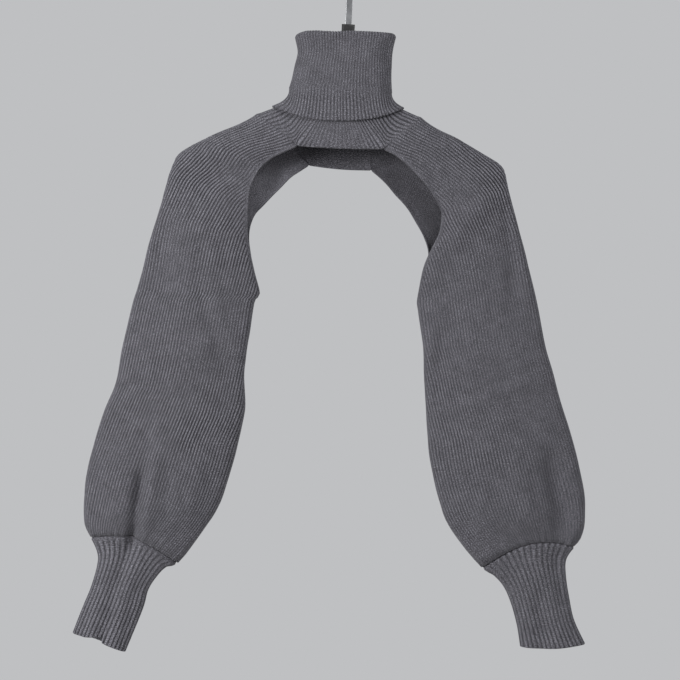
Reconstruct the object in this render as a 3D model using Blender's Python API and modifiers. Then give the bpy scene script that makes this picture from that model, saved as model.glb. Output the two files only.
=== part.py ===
"""Knitted turtleneck shrug on a clothes hanger.

Metres, +Z up. The front of the garment faces -Y, and left and right are as seen from the front.
The origin is the inside of the hook's crown, where a rail carries the hanger.

The garment is a turned-down collar, a short flared yoke round the neck, two raglan sleeves that are
open towards the chest and back as far as the underarm and closed tubes below it, and two ribbed cuffs.
Tables are in millimetres and give the middle of the cloth's wall.
"""
import math
from collections import namedtuple

import bmesh
import bpy
from mathutils import Vector

MM = 0.001

# ---- driving sizes, in metres ----
WALL = 2.0 * MM                 # thickness of the rib knit
SEAM_GAP = 0.3 * MM             # between two sewn pieces
LAYER_GAP = 0.7 * MM            # between the turned-down collar and the yoke it lies on
TILT = math.radians(2.5)        # the hanger hangs with its right arm low
FOLD_RADIUS = 8.0 * MM          # the cloth's fold over a hanger arm
FOLD_SHARE = 0.4                # of a section's half depth, where that is less
FOLD_REACH = 1.15               # how far across a fold rounds off, in its own radii
COLLAR_SQUARENESS = 2.3         # 2 is an ellipse
FRONT_CORNER = math.radians(42)     # yoke corners, round the neck from its side
BACK_CORNER = math.radians(50)
YOKE_BULGE = 3.0 * MM           # free edges of the yoke, out from their corners
YOKE_SAG = 1.5 * MM             # and down
YOKE_DROP = 0.35                # how far the yoke runs straight down from the neck
YOKE_SETTLE = 0.35              # and how far it runs into the line of the sleeve
FLAP_EDGE = -185.5 * MM         # height of the turned-down collar's edge at its sides
FLAP_FRONT_DROP = 20.0 * MM     # and how much lower it hangs in front and behind
FLAP_BACK_DROP = 8.0 * MM

# ---- how finely the cloth is faceted ----
LAYER_COLUMNS = 10              # across one layer of a sleeve
EDGE_COLUMNS = 5                # across a free edge of the yoke
SLEEVE_ROWS = 24
CUFF_ROWS = 6
YOKE_ROWS = 5
TUBE_ROWS = 3                   # inner layer of the collar
FOLD_ROWS = 4                   # round its top fold
FLAP_ROWS = 4                   # outer layer above the yoke
COVER_ROWS = 3                  # outer layer on the yoke
SEAM_ROW = 0.15                 # a row of facets this near each cuff seam, in table rows

# ---- hanger ----
STRIP_WIDTH = 7.8 * MM
STRIP_THICKNESS = 2.4 * MM
HOOK_INNER_RADIUS = 21.0 * MM
HOOK_RETURN_RADIUS = 12.0 * MM
HOOK_TIP_ANGLE = math.radians(205)
NECK_TOP = -86.0 * MM
NECK_HALF_WIDTH = 8.0 * MM
NECK_FLARE_START = -112.0 * MM
NECK_FLARE_EASE = 0.4           # how softly the neck runs into the arms
POCKET_DEPTH = 14.0 * MM
BODY_THICKNESS = 10.0 * MM
BODY_ROUNDING = 3.0 * MM
ARM_APEX = -153.4 * MM          # where the two arms' top lines would meet
ARM_SLOPE = 0.512
ARM_CROWN = 1.2 * MM            # how far an arm's top line bows up
ARM_ROOT_X = 42.0 * MM
ARM_TIP_X = 174.0 * MM
ARM_TIP_RADIUS = 7.0 * MM
ARM_ROOT_HEIGHT = 26.0 * MM

# outer: the fold along the shoulder and outside of the arm. front, back: the free edges, which meet at
# the underarm. depth: half the thickness of the flattened tube. gape: how open it is towards the body.
# bow: how far the middle of a layer lies below the line between its edges.
Section = namedtuple("Section", "name outer_x outer_z front_x front_z back_x back_z depth gape bow")

LEFT_ARM = [
    Section("raglan seam", -116, -195, -65, -235, -52, -256, 24.0, 1.00, 0),
    Section("shoulder 1", -138, -206, -81, -242, -63, -263, 24.0, 1.00, 0),
    Section("shoulder 2", -163, -216, -97, -250, -75, -271, 23.5, 1.00, 0),
    Section("shoulder 3", -184, -226, -109, -261, -86, -282, 23.0, 0.98, 0),
    Section("shoulder 4", -201, -235, -119, -276, -97, -293, 22.0, 0.95, 0),
    Section("corner", -214, -246, -124, -290, -108, -306, 21.0, 0.90, 0),
    Section("upper arm 1", -223, -266, -126, -309, -118, -317, 20.0, 0.80, 0),
    Section("upper arm 2", -230, -293, -127, -327, -124, -332, 19.5, 0.68, 0),
    Section("upper arm 3", -238, -321, -127, -346, -126, -349, 19.0, 0.52, 0),
    Section("upper arm 4", -247, -350, -124, -367, -124, -368, 18.5, 0.34, 0),
    Section("upper arm 5", -254, -379, -119, -389, -120, -390, 18.5, 0.16, 0),
    Section("underarm", -262, -409, -113, -414, -113, -414, 18.0, 0.00, 0),
    Section("below underarm", -267, -427, -120, -426, -120, -426, 18.0, 0.00, 0),
    Section("elbow 1", -279, -481, -129, -483, -129, -483, 19.0, 0.00, 0),
    Section("elbow 2", -287, -522, -132, -526, -132, -526, 20.0, 0.00, 0),
    Section("elbow 3", -301, -556, -132, -558, -132, -558, 22.0, 0.00, 0),
    Section("balloon 1", -313, -593, -141, -598, -141, -598, 25.0, 0.00, 0),
    Section("balloon 2", -323, -634, -151, -639, -151, -639, 27.0, 0.00, 0),
    Section("balloon 3", -326, -671, -164, -675, -164, -675, 27.0, 0.00, 0),
    Section("balloon 4", -325, -695, -182, -704, -182, -704, 23.5, 0.00, -6),
    Section("cuff seam", -318, -711, -213, -741, -213, -741, 17.0, 0.00, -14),
    Section("cuff 1", -310, -731, -227, -747, -227, -747, 14.5, 0.00, -9),
    Section("cuff 2", -311, -747, -238, -758, -238, -758, 13.5, 0.00, -4),
    Section("cuff 3", -319, -773, -249, -775, -249, -775, 13.0, 0.00, 0),
    Section("cuff 4", -328, -794, -256, -799, -256, -799, 13.5, 0.00, 0),
    Section("cuff edge", -341, -827, -277, -850, -277, -850, 14.5, 0.00, -1),
]

RIGHT_ARM = [
    Section("raglan seam", 85, -200, 38, -239, 24, -262, 24.0, 1.00, 0),
    Section("shoulder 1", 105, -213, 53, -246, 35, -271, 24.0, 1.00, 0),
    Section("shoulder 2", 128, -224, 67, -257, 45, -281, 23.5, 1.00, 0),
    Section("shoulder 3", 148, -236, 79, -269, 54, -292, 23.0, 0.98, 0),
    Section("shoulder 4", 167, -248, 90, -282, 64, -303, 22.0, 0.95, 0),
    Section("corner", 184, -262, 99, -298, 73, -315, 21.0, 0.90, 0),
    Section("upper arm 1", 190, -285, 107, -314, 81, -329, 20.0, 0.82, 0),
    Section("upper arm 2", 197, -312, 109, -331, 89, -344, 19.5, 0.70, 0),
    Section("upper arm 3", 204, -338, 106, -346, 95, -359, 19.0, 0.54, 0),
    Section("upper arm 4", 211, -364, 98, -365, 96, -372, 18.5, 0.36, 0),
    Section("upper arm 5", 217, -389, 89, -390, 90, -392, 18.5, 0.17, 0),
    Section("underarm", 224, -418, 82, -421, 82, -421, 18.0, 0.00, 0),
    Section("below underarm", 228, -437, 83, -436, 83, -436, 18.0, 0.00, 0),
    Section("elbow 1", 236, -479, 89, -478, 89, -478, 19.0, 0.00, 0),
    Section("elbow 2", 245, -510, 90, -510, 90, -510, 20.0, 0.00, 0),
    Section("elbow 3", 254, -545, 91, -548, 91, -548, 22.0, 0.00, 0),
    Section("balloon 1", 268, -590, 95, -593, 95, -593, 25.0, 0.00, 0),
    Section("balloon 2", 278, -630, 99, -630, 99, -630, 27.0, 0.00, 0),
    Section("balloon 3", 284, -666, 109, -671, 109, -671, 27.0, 0.00, 0),
    Section("balloon 4", 282, -699, 123, -703, 123, -703, 24.0, 0.00, -7),
    Section("cuff seam", 271, -722, 160, -747, 160, -747, 17.0, 0.00, -16),
    Section("cuff 1", 261, -739, 175, -758, 175, -758, 14.5, 0.00, -10),
    Section("cuff 2", 261, -760, 187, -772, 187, -772, 13.5, 0.00, -4),
    Section("cuff 3", 265, -786, 196, -793, 196, -793, 13.0, 0.00, 0),
    Section("cuff 4", 271, -813, 203, -819, 203, -819, 13.5, 0.00, 1),
    Section("cuff edge", 284, -841, 207, -844, 207, -844, 14.5, 0.00, 3),
]

# Rings of the collar's outer layer. layers: how far its inner layer lies inside it.
Ring = namedtuple("Ring", "name z centre_x half_width half_depth layers")

COLLAR = [
    Ring("top fold", -100.5, -7.3, 60.5, 24.0, 6.0),
    Ring("upper", -120, -8.0, 56.6, 22.5, 5.0),
    Ring("middle", -139, -11.0, 58.0, 22.5, 4.0),
    Ring("lower", -156, -12.8, 60.0, 23.5, 3.0),
    Ring("neck seam", -168, -13.4, 61.9, 25.0, 2.5),
]


# ---- curves through the tables ----

def table_row(table, place):
    """The table's row at a place from 0 to its last index, on a smooth curve through the rows."""
    last = len(table) - 1
    place = min(max(place, 0.0), float(last))
    first = min(int(place), last - 1)
    t = place - first
    near = [table[min(max(first + step, 0), last)][1:] for step in (-1, 0, 1, 2)]
    values = []
    for a, b, c, d in zip(*near):
        curve = 2 * b + (c - a) * t + (2 * a - 5 * b + 4 * c - d) * t ** 2 + (3 * b - a - 3 * c + d) * t ** 3
        values.append(curve / 2)
    return type(table[0])(table[first].name, *values)


def row_index(table, name):
    """Where the row of that name stands in its table."""
    return [row.name for row in table].index(name)


def round_over(t):
    """A quarter circle's rise: 0 at 0, and 1 from 1 on."""
    return math.sqrt(1 - (1 - min(max(t, 0.0), 1.0)) ** 2)


def bezier(p0, p1, p2, p3, t):
    """A point of a cubic Bezier curve."""
    s = 1 - t
    return p0 * s ** 3 + p1 * 3 * s * s * t + p2 * 3 * s * t * t + p3 * t ** 3


# ---- sleeve and cuff ----

def arm_point(table, place, around):
    """A point of the arm's cloth. around runs from -1, the front edge, over the outer fold to 1."""
    row = table_row(table, place)
    across = abs(around)
    edge_x, edge_z = (row.front_x, row.front_z) if around < 0 else (row.back_x, row.back_z)
    width = math.hypot(edge_x - row.outer_x, edge_z - row.outer_z) * MM
    depth = row.depth * MM
    gape = min(max(row.gape, 0.0), 1.0)
    fold = min(FOLD_RADIUS, FOLD_SHARE * depth)
    reach = width / (FOLD_REACH * fold)
    edge = gape + (1 - gape) * round_over((1 - across) * reach)
    belly = (1 - gape) * math.sin(math.pi * across) + gape * math.sin(math.pi / 2 * across)
    y = fold * round_over(across * reach) * edge + (depth - fold) * belly
    x = (row.outer_x + (edge_x - row.outer_x) * across) * MM
    z = (row.outer_z + (edge_z - row.outer_z) * across - row.bow * math.sin(math.pi * across)) * MM
    return Vector((x, math.copysign(y, around), z))


def across_share(step):
    """How far across a layer a column lies, for step 0 to 1: columns are close at the folds."""
    return (1 - math.cos(math.pi * step)) / 2


def arm_columns():
    """The around values of an arm's columns, from the front edge over the fold to the back edge."""
    half = [across_share(k / LAYER_COLUMNS) for k in range(LAYER_COLUMNS + 1)]
    return [-share for share in reversed(half)] + half[1:]


def arm_normal(table, around):
    """The outward direction of the arm's cloth at the raglan seam."""
    small = 0.02
    low, high = max(around - small, -1.0), min(around + small, 1.0)
    along = arm_point(table, small, around) - arm_point(table, 0.0, around)
    across = arm_point(table, 0.0, high) - arm_point(table, 0.0, low)
    normal = along.cross(across).normalized()
    outward = Vector((0, math.copysign(1.0, around), 0)) if abs(around) > 0.3 else Vector((0, 0, 1))
    return normal if normal.dot(outward) > 0 else -normal


# ---- neck, yoke and collar ----

def collar_ring(place, angle, inside=0.0):
    """A point of the collar's outer layer, or of a ring that much inside it. Angle 0 is the right."""
    ring = table_row(COLLAR, place)
    cosine, sine = math.cos(angle), math.sin(angle)
    power = 2 / COLLAR_SQUARENESS
    x = (ring.half_width * MM - inside) * math.copysign(abs(cosine) ** power, cosine)
    y = (ring.half_depth * MM - inside) * math.copysign(abs(sine) ** power, sine)
    return Vector((ring.centre_x * MM + x, y, ring.z * MM - math.tan(TILT) * x))


def neck_point(angle):
    """A point of the seam between the collar's inner layer and the yoke."""
    return collar_ring(len(COLLAR) - 1, angle, COLLAR[-1].layers * MM)


# The yoke's lower edge, from the left shoulder round the front: its kind, columns and two neck angles.
Stretch = namedtuple("Stretch", "kind columns start end")

STRETCHES = [
    Stretch("left front", LAYER_COLUMNS, math.pi, math.pi + FRONT_CORNER),
    Stretch("front edge", EDGE_COLUMNS, math.pi + FRONT_CORNER, 2 * math.pi - FRONT_CORNER),
    Stretch("right front", LAYER_COLUMNS, 2 * math.pi - FRONT_CORNER, 2 * math.pi),
    Stretch("right back", LAYER_COLUMNS, 2 * math.pi, 2 * math.pi + BACK_CORNER),
    Stretch("back edge", EDGE_COLUMNS, 2 * math.pi + BACK_CORNER, 3 * math.pi - BACK_CORNER),
    Stretch("left back", LAYER_COLUMNS, 3 * math.pi - BACK_CORNER, 3 * math.pi),
]
RING_COLUMNS = sum(stretch.columns for stretch in STRETCHES)


def ring_station(column):
    """The neck angle, the lower edge's point and its outward direction at a column round the yoke."""
    column %= RING_COLUMNS
    for stretch in STRETCHES:
        if column <= stretch.columns:
            break
        column -= stretch.columns
    step = column / stretch.columns
    share = {"left front": -across_share(step), "right front": across_share(step) - 1,
             "right back": across_share(step), "left back": 1 - across_share(step)}.get(stretch.kind)
    if share is None:
        side = -1.0 if stretch.kind == "front edge" else 1.0
        first, last = (LEFT_ARM, RIGHT_ARM) if side < 0 else (RIGHT_ARM, LEFT_ARM)
        start, end = arm_point(first, 0.0, side), arm_point(last, 0.0, side)
        hump = math.sin(math.pi * step)
        edge = start.lerp(end, step) + Vector((0, side * YOKE_BULGE, -YOKE_SAG)) * hump
        return stretch.start + (stretch.end - stretch.start) * step, edge, Vector((0, side, 0))
    table = LEFT_ARM if stretch.kind.startswith("left") else RIGHT_ARM
    if share == 0:
        share = -1e-6 if stretch.kind.endswith("front") else 1e-6
    angle = stretch.start + (stretch.end - stretch.start) * step
    return angle, arm_point(table, 0.0, share), arm_normal(table, share)


def yoke_point(column, down):
    """A point of the yoke, from the neck seam at down 0 to its lower edge at 1."""
    angle, edge, outward = ring_station(column)
    neck = neck_point(angle)
    reach = neck - edge
    settle = reach - outward * reach.dot(outward)
    below_neck = neck + Vector((0, 0, -YOKE_DROP * reach.length))
    return bezier(neck, below_neck, edge + settle * YOKE_SETTLE, edge, down)


def yoke_normal(column, down):
    """The outward direction of the yoke's cloth."""
    small = 0.05
    along = yoke_point(column, min(down + small, 1.0)) - yoke_point(column, max(down - small, 0.0))
    across = yoke_point(column + small, down) - yoke_point(column - small, down)
    return across.cross(along).normalized() * -1.0


def cover_share(column):
    """The share of the yoke that the turned-down collar covers at a column, found by halving."""
    angle = ring_station(column)[0]
    drop = FLAP_FRONT_DROP if math.sin(angle) < 0 else FLAP_BACK_DROP
    level = FLAP_EDGE - drop * math.sqrt(abs(math.sin(angle)))
    low, high = 0.0, 1.0
    for _ in range(20):
        middle = (low + high) / 2
        point = yoke_point(column, middle)
        lean = math.tan(TILT) * (point.x - COLLAR[-1].centre_x * MM)
        if point.z + lean > level:
            low = middle
        else:
            high = middle
    return low


def collar_profile(column):
    """The collar's points at one column: up the inner layer, over the fold and down the outer one."""
    angle = ring_station(column)[0]
    last = len(COLLAR) - 1
    points = []
    for row in range(TUBE_ROWS):
        place = last * (1 - row / TUBE_ROWS)
        points.append(collar_ring(place, angle, table_row(COLLAR, place).layers * MM))
    points[0].z += SEAM_GAP
    radius = COLLAR[0].layers * MM / 2
    for row in range(FOLD_ROWS + 1):
        turn = math.pi * row / FOLD_ROWS
        inside = radius * (1 + math.cos(turn))
        points.append(collar_ring(0, angle, inside) + Vector((0, 0, radius * math.sin(turn))))
    for row in range(1, FLAP_ROWS):
        points.append(collar_ring(last * row / FLAP_ROWS, angle))
    for row in range(COVER_ROWS + 1):
        down = cover_share(column) * row / COVER_ROWS
        out = yoke_normal(column, down) * (WALL + LAYER_GAP)
        points.append(yoke_point(column, down) + out)
    return points


# ---- objects ----

def collection(name):
    """A new collection in the scene."""
    group = bpy.data.collections.new(name)
    bpy.context.scene.collection.children.link(group)
    return group


def material(name, colour, roughness, metallic=0.0):
    """A plain Principled material."""
    made = bpy.data.materials.new(name)
    made.use_nodes = True
    shader = made.node_tree.nodes["Principled BSDF"]
    shader.inputs["Base Color"].default_value = (*colour, 1.0)
    shader.inputs["Roughness"].default_value = roughness
    shader.inputs["Metallic"].default_value = metallic
    return made


def add_object(name, mesh, group, made_of):
    """An object of that mesh, in its collection and material."""
    thing = bpy.data.objects.new(name, mesh)
    group.objects.link(thing)
    mesh.materials.append(made_of)
    return thing


def loft(name, rows, closed_from, group, made_of, thickness):
    """A sheet through rows of points, with a wall's thickness about its middle.

    From row closed_from on, the first and last columns are joined, and the sheet is a tube.
    """
    builder = bmesh.new()
    grid = []
    for index, row in enumerate(rows):
        joined = index >= closed_from
        line = [builder.verts.new(point) for point in (row[:-1] if joined else row)]
        grid.append(line + line[:1] if joined else line)
    for upper, lower in zip(grid, grid[1:]):
        for column in range(len(upper) - 1):
            corners = (upper[column], upper[column + 1], lower[column + 1], lower[column])
            builder.faces.new(dict.fromkeys(corners))
    mesh = bpy.data.meshes.new(name)
    builder.to_mesh(mesh)
    builder.free()
    thing = add_object(name, mesh, group, made_of)
    wall = thing.modifiers.new("wall", "SOLIDIFY")
    wall.thickness = thickness
    wall.offset = 0.0
    mesh.shade_smooth()
    return thing


def add_arm(side, table, group, made_of):
    """One sleeve and its cuff, from the raglan seam to the wrist."""
    seam = row_index(table, "cuff seam")
    underarm = row_index(table, "underarm")
    columns = arm_columns()
    upper = round(SLEEVE_ROWS * underarm / seam)
    places = [underarm * row / upper for row in range(upper + 1)]
    below = SLEEVE_ROWS - upper
    places += [underarm + (seam - underarm) * row / below for row in range(1, below)]
    places += [seam - SEAM_ROW, seam]
    sleeve = [[arm_point(table, place, around) for around in columns] for place in places]
    loft(f"sleeve_{side}", sleeve, upper, group, made_of, WALL)

    last = len(table) - 1
    places = [seam, seam + SEAM_ROW]
    places += [seam + (last - seam) * row / CUFF_ROWS for row in range(1, CUFF_ROWS + 1)]
    cuff = [[arm_point(table, place, around) for around in columns] for place in places]
    cuff[0] = [point + (lower - point).normalized() * SEAM_GAP for point, lower in zip(cuff[0], cuff[1])]
    loft(f"cuff_{side}", cuff, 0, group, made_of, WALL)


def add_neck(group, made_of):
    """The yoke and the turned-down collar on it."""
    columns = range(RING_COLUMNS + 1)
    yoke = [[yoke_point(column, row / YOKE_ROWS) for column in columns] for row in range(YOKE_ROWS + 1)]
    yoke[-1] = [point + (upper - point).normalized() * SEAM_GAP for point, upper in zip(yoke[-1], yoke[-2])]
    loft("yoke", yoke, 0, group, made_of, WALL)
    profiles = [collar_profile(column) for column in columns]
    loft("collar", [list(row) for row in zip(*profiles)], 0, group, made_of, WALL)


# ---- hanger, modelled upright and then tilted about the hook's crown ----

def hook_path():
    """The middle line of the hook's strip, from its tip over the crown to its end in the neck."""
    radius = HOOK_INNER_RADIUS + STRIP_WIDTH / 2
    drop = math.sqrt(radius ** 2 + 2 * radius * HOOK_RETURN_RADIUS)
    leave = -math.atan2(drop, HOOK_RETURN_RADIUS)
    steps = 30
    path = []
    for step in range(steps + 1):
        angle = HOOK_TIP_ANGLE + (leave - HOOK_TIP_ANGLE) * step / steps
        path.append((radius * math.cos(angle), radius * math.sin(angle) - HOOK_INNER_RADIUS))
    bend_steps = 8
    for step in range(1, bend_steps + 1):
        angle = math.pi + leave + (math.pi - (math.pi + leave)) * step / bend_steps
        path.append((HOOK_RETURN_RADIUS * (1 + math.cos(angle)),
                     HOOK_RETURN_RADIUS * math.sin(angle) - drop - HOOK_INNER_RADIUS))
    path.append((0.0, NECK_TOP - POCKET_DEPTH + SEAM_GAP))
    return path


def add_hook(group, made_of):
    """The flat steel hook."""
    path = hook_path()
    rows = []
    for index, (x, z) in enumerate(path):
        before, after = path[max(index - 1, 0)], path[min(index + 1, len(path) - 1)]
        along = Vector((after[0] - before[0], 0, after[1] - before[1])).normalized()
        side = Vector((along.z, 0, -along.x)) * (STRIP_WIDTH / 2)
        middle = Vector((x, 0, z))
        rows.append([middle - side, middle + side])
    hook = loft("hanger_hook", rows, len(rows), group, made_of, STRIP_THICKNESS)
    hook.data.shade_flat()
    hook.rotation_euler.y = TILT


def arm_top(x):
    """The height of an arm's top line."""
    share = (x - ARM_ROOT_X) / (ARM_TIP_X - ARM_ROOT_X)
    return ARM_APEX - ARM_SLOPE * x + ARM_CROWN * 4 * share * (1 - share)


def hanger_half_outline():
    """The right half of the hanger body's outline, from the neck's top to the middle of its underside."""
    outline = [(NECK_HALF_WIDTH, NECK_TOP), (NECK_HALF_WIDTH, NECK_FLARE_START)]
    neck_foot = Vector((NECK_HALF_WIDTH, 0, NECK_FLARE_START))
    root = Vector((ARM_ROOT_X, 0, arm_top(ARM_ROOT_X)))
    slope = Vector((1, 0, -ARM_SLOPE))
    flare = (root - neck_foot).length
    down = neck_foot + Vector((0, 0, -NECK_FLARE_EASE * flare))
    back = root - slope * NECK_FLARE_EASE * flare
    flare_steps = 7
    for step in range(1, flare_steps):
        point = bezier(neck_foot, down, back, root, step / flare_steps)
        outline.append((point.x, point.z))
    arm_steps = 8
    for step in range(arm_steps + 1):
        x = ARM_ROOT_X + (ARM_TIP_X - ARM_ROOT_X) * step / arm_steps
        outline.append((x, arm_top(x)))
    tip_z = arm_top(ARM_TIP_X) - ARM_TIP_RADIUS
    tip_steps = 6
    for step in range(1, tip_steps):
        turn = math.pi / 2 - math.pi * step / tip_steps
        outline.append((ARM_TIP_X + ARM_TIP_RADIUS * math.cos(turn), tip_z + ARM_TIP_RADIUS * math.sin(turn)))
    outline.append((ARM_TIP_X, tip_z - ARM_TIP_RADIUS))
    outline.append((ARM_ROOT_X, arm_top(ARM_ROOT_X) - ARM_ROOT_HEIGHT))
    outline.append((0.0, arm_top(ARM_ROOT_X) - ARM_ROOT_HEIGHT + ARM_SLOPE * ARM_ROOT_X / 2))
    return outline


def add_hanger_body(group, cutters, made_of):
    """The moulded hanger body, flat with rounded edges, and the pocket in its neck for the hook."""
    half = hanger_half_outline()
    outline = half + [(-x, z) for x, z in reversed(half[:-1])]
    curve = bpy.data.curves.new("hanger_outline", "CURVE")
    curve.dimensions = "2D"
    curve.fill_mode = "BOTH"
    curve.extrude = BODY_THICKNESS / 2 - BODY_ROUNDING
    curve.bevel_depth = BODY_ROUNDING
    curve.bevel_resolution = 1
    curve.offset = -BODY_ROUNDING
    spline = curve.splines.new("POLY")
    spline.points.add(len(outline) - 1)
    for point, (x, z) in zip(spline.points, outline):
        point.co = (x, z, 0, 1)
    spline.use_cyclic_u = True
    flat = bpy.data.objects.new("hanger_outline", curve)
    group.objects.link(flat)
    bpy.context.view_layer.update()
    mesh = bpy.data.meshes.new_from_object(flat.evaluated_get(bpy.context.evaluated_depsgraph_get()))
    bpy.data.objects.remove(flat)
    builder = bmesh.new()
    builder.from_mesh(mesh)
    bmesh.ops.remove_doubles(builder, verts=builder.verts, dist=0.00001)
    bmesh.ops.recalc_face_normals(builder, faces=builder.faces)
    builder.to_mesh(mesh)
    builder.free()
    mesh.materials.clear()
    body = add_object("hanger_body", mesh, group, made_of)
    body.rotation_euler = (math.pi / 2, TILT, 0)

    bpy.ops.mesh.primitive_cube_add(size=1)
    pocket = bpy.context.object
    pocket.name = "hook_pocket"
    pocket.scale = (STRIP_WIDTH + 2 * SEAM_GAP, STRIP_THICKNESS + 2 * SEAM_GAP, 2 * POCKET_DEPTH)
    pocket.location = (NECK_TOP * math.sin(TILT), 0, NECK_TOP * math.cos(TILT))
    pocket.rotation_euler.y = TILT
    pocket.hide_render = True
    pocket.display_type = "WIRE"
    for holder in list(pocket.users_collection):
        holder.objects.unlink(pocket)
    cutters.objects.link(pocket)
    cut = body.modifiers.new("hook pocket", "BOOLEAN")
    cut.operation = "DIFFERENCE"
    cut.object = pocket


def main():
    """Builds the garment and its hanger."""
    for thing in list(bpy.data.objects):
        bpy.data.objects.remove(thing)
    garment = collection("turtleneck_shrug_on_hanger")
    cutters = collection("cutters")
    knit = material("heather grey rib knit", (0.16, 0.158, 0.175), 0.95)
    plastic = material("black matt plastic", (0.012, 0.012, 0.013), 0.5)
    steel = material("satin steel", (0.45, 0.45, 0.46), 0.3, 1.0)
    add_neck(garment, knit)
    add_arm("left", LEFT_ARM, garment, knit)
    add_arm("right", RIGHT_ARM, garment, knit)
    add_hanger_body(garment, cutters, plastic)
    add_hook(garment, steel)


main()
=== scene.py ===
"""The looks of a knitted turtleneck shrug on its hanger.

The shrug is a turned-down collar, a short yoke, two raglan sleeves open towards chest and back, and two
deep cuffs. Every knitted piece is a thin shell: a surface worked out from the garment's tables, with its
ribs, creases and rolled edges as real relief on both faces. Millimetres in the tables and settings, metres
in the meshes. The front faces -Y, and left and right are as seen from the front.
"""
import math
from collections import namedtuple

import bpy
import numpy as np
from bpy.props import FloatProperty, FloatVectorProperty, IntProperty, PointerProperty
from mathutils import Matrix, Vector


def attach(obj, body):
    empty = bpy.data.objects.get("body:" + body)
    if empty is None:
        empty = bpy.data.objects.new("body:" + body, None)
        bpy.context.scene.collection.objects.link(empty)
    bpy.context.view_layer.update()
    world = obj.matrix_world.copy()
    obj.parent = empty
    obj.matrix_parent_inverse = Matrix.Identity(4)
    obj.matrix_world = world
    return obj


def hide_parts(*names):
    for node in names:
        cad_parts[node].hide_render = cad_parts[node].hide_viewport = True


bl_info = {
    "name": "Turtleneck shrug",
    "version": (1, 0, 0),
    "blender": (4, 5, 0),
    "location": "View3D > Sidebar > Shrug",
    "description": "Knits a turtleneck shrug round its packed frame and hangs it up",
    "category": "Object",
}

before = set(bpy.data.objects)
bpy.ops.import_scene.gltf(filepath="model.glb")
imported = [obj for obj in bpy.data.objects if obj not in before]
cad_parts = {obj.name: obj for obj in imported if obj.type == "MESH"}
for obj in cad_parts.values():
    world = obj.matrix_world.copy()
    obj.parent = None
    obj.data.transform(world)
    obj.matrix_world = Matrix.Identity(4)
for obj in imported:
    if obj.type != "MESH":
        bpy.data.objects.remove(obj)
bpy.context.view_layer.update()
MM = 0.001

# ---- the garment's own sizes, in millimetres, as its solids have them ----
SEAM_GAP = 0.3
LAYER_GAP = 0.7
TILT = math.radians(2.5)
FOLD_RADIUS = 8.0
FOLD_SHARE = 0.4
FOLD_REACH = 1.15
COLLAR_SQUARENESS = 2.3
FRONT_CORNER = math.radians(42)
BACK_CORNER = math.radians(50)
YOKE_BULGE = 3.0
YOKE_SAG = 1.5
YOKE_DROP = 0.35
YOKE_SETTLE = 0.35
CORNER_SOFTNESS = 0.17       # how far round the neck a corner of the yoke's edge is softened, in radians
FLAP_MIDDLE = -13.0          # lowest point of the turned-down edge
FLAP_FRONT = -205.3
FLAP_BACK = -195.0
FLAP_TIPS = -188.0           # its height that far to each side:
FLAP_REACH = 80.0
FLAP_CURVE = 2.4             # how late it turns up towards them

# ---- how the knitting is drawn, in millimetres or as a share ----
VISIBLE_GAP = 0.04           # between knitted pieces at a seam
CUFF_GAP = 0.25              # and at a cuff's
SEAM_RIM = 0.02              # bulge of an edge that lies in a seam
CUFF_RIM = 0.11              # bulge of the edges at a cuff's seam, which shows as a fine line
SLIM_RIM = 0.9               # bulge of the yoke's and the collar's edges, as a share of half the wall
SHARP_RIM = 0.1              # an edge that bulges less is shaded sharp
RIB_SUNK = 0.55              # share of a rib's height that lies under the cloth's own face
PLAIN = 0.68                 # relief of cloth without ribs: half way up
SHADE_LIMIT = 1.3            # the strongest contrast of a rib's shade
SEAM_SWELL = 1.2             # how far the cloth rises at a raglan seam
SEAM_SWELL_REACH = 3.5
SEAM_RIDGE = 0.9             # how far the seam's turned-in edge stands out inside
SEAM_RIDGE_REACH = 2.6
YOKE_RUN = 55                # about how much cloth lies between the neck and the yoke's edge
NECK_RADIUS = 42             # about how far round the neck a radian is
KNOT_HEIGHT = 2.2            # of a darned end of yarn, inside
KNOT_REACH = 3
EDGE_STAND_OFF = 2.2         # how far the turned-down collar's edge stands off the yoke
FLARE = 0.17                 # how far the collar's ribs spread to the sides at that edge, in radians
FLARE_AT_SEAM = 0.35         # the share of it above the yoke
RIB_SPACING = 3.6            # between a sleeve's ribs, for the material
ROW_STEPS = (5.2, 5.6, 3.0)  # between rows of the shell: above the underarm, below it, on a cuff
BAND_WIDTH = 3.4             # of the plain band along an opening's edge
RIB_END = 3.0                # over which a rib flattens before it
RAGLAN_WIDENING = 0.18       # how much further apart the ribs lie at the raglan seam
CURL_START = 0.72            # where, across a layer, the opening's edge begins to curl in
CURL_DEPTH = 2.6
HEM_ROW = 43                 # length of the cuff's last row of sections
RIB_SAMPLES = (0.0, 0.25, 0.5, 0.75)                # where the columns of one rib lie, on a sleeve,
CORD_SAMPLES = (0.0, 0.15, 0.3, 0.42, 0.5, 0.58, 0.7, 0.85)    # on a cuff
RING_SAMPLES = (0.0, 0.17, 0.34, 0.5, 0.66, 0.83)   # and on the yoke and the collar

# ---- the hanger's sizes ----
STRIP_WIDTH = 7.8
STRIP_THICKNESS = 2.4
STRIP_ROUNDING = 0.6
HOOK_INNER_RADIUS = 21.0
HOOK_RETURN_RADIUS = 12.0
HOOK_TIP_ANGLE = math.radians(205)
NECK_TOP = -86.0
NECK_HALF_WIDTH = 8.0
NECK_FLARE_START = -112.0
NECK_FLARE_EASE = 0.4
POCKET_DEPTH = 14.0
BODY_THICKNESS = 10.0
BODY_ROUNDING = 3.0
ARM_APEX = -153.4
ARM_SLOPE = 0.512
ARM_CROWN = 1.2
ARM_ROOT_X = 42.0
ARM_TIP_X = 174.0
ARM_TIP_RADIUS = 7.0
ARM_ROOT_HEIGHT = 26.0

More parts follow.
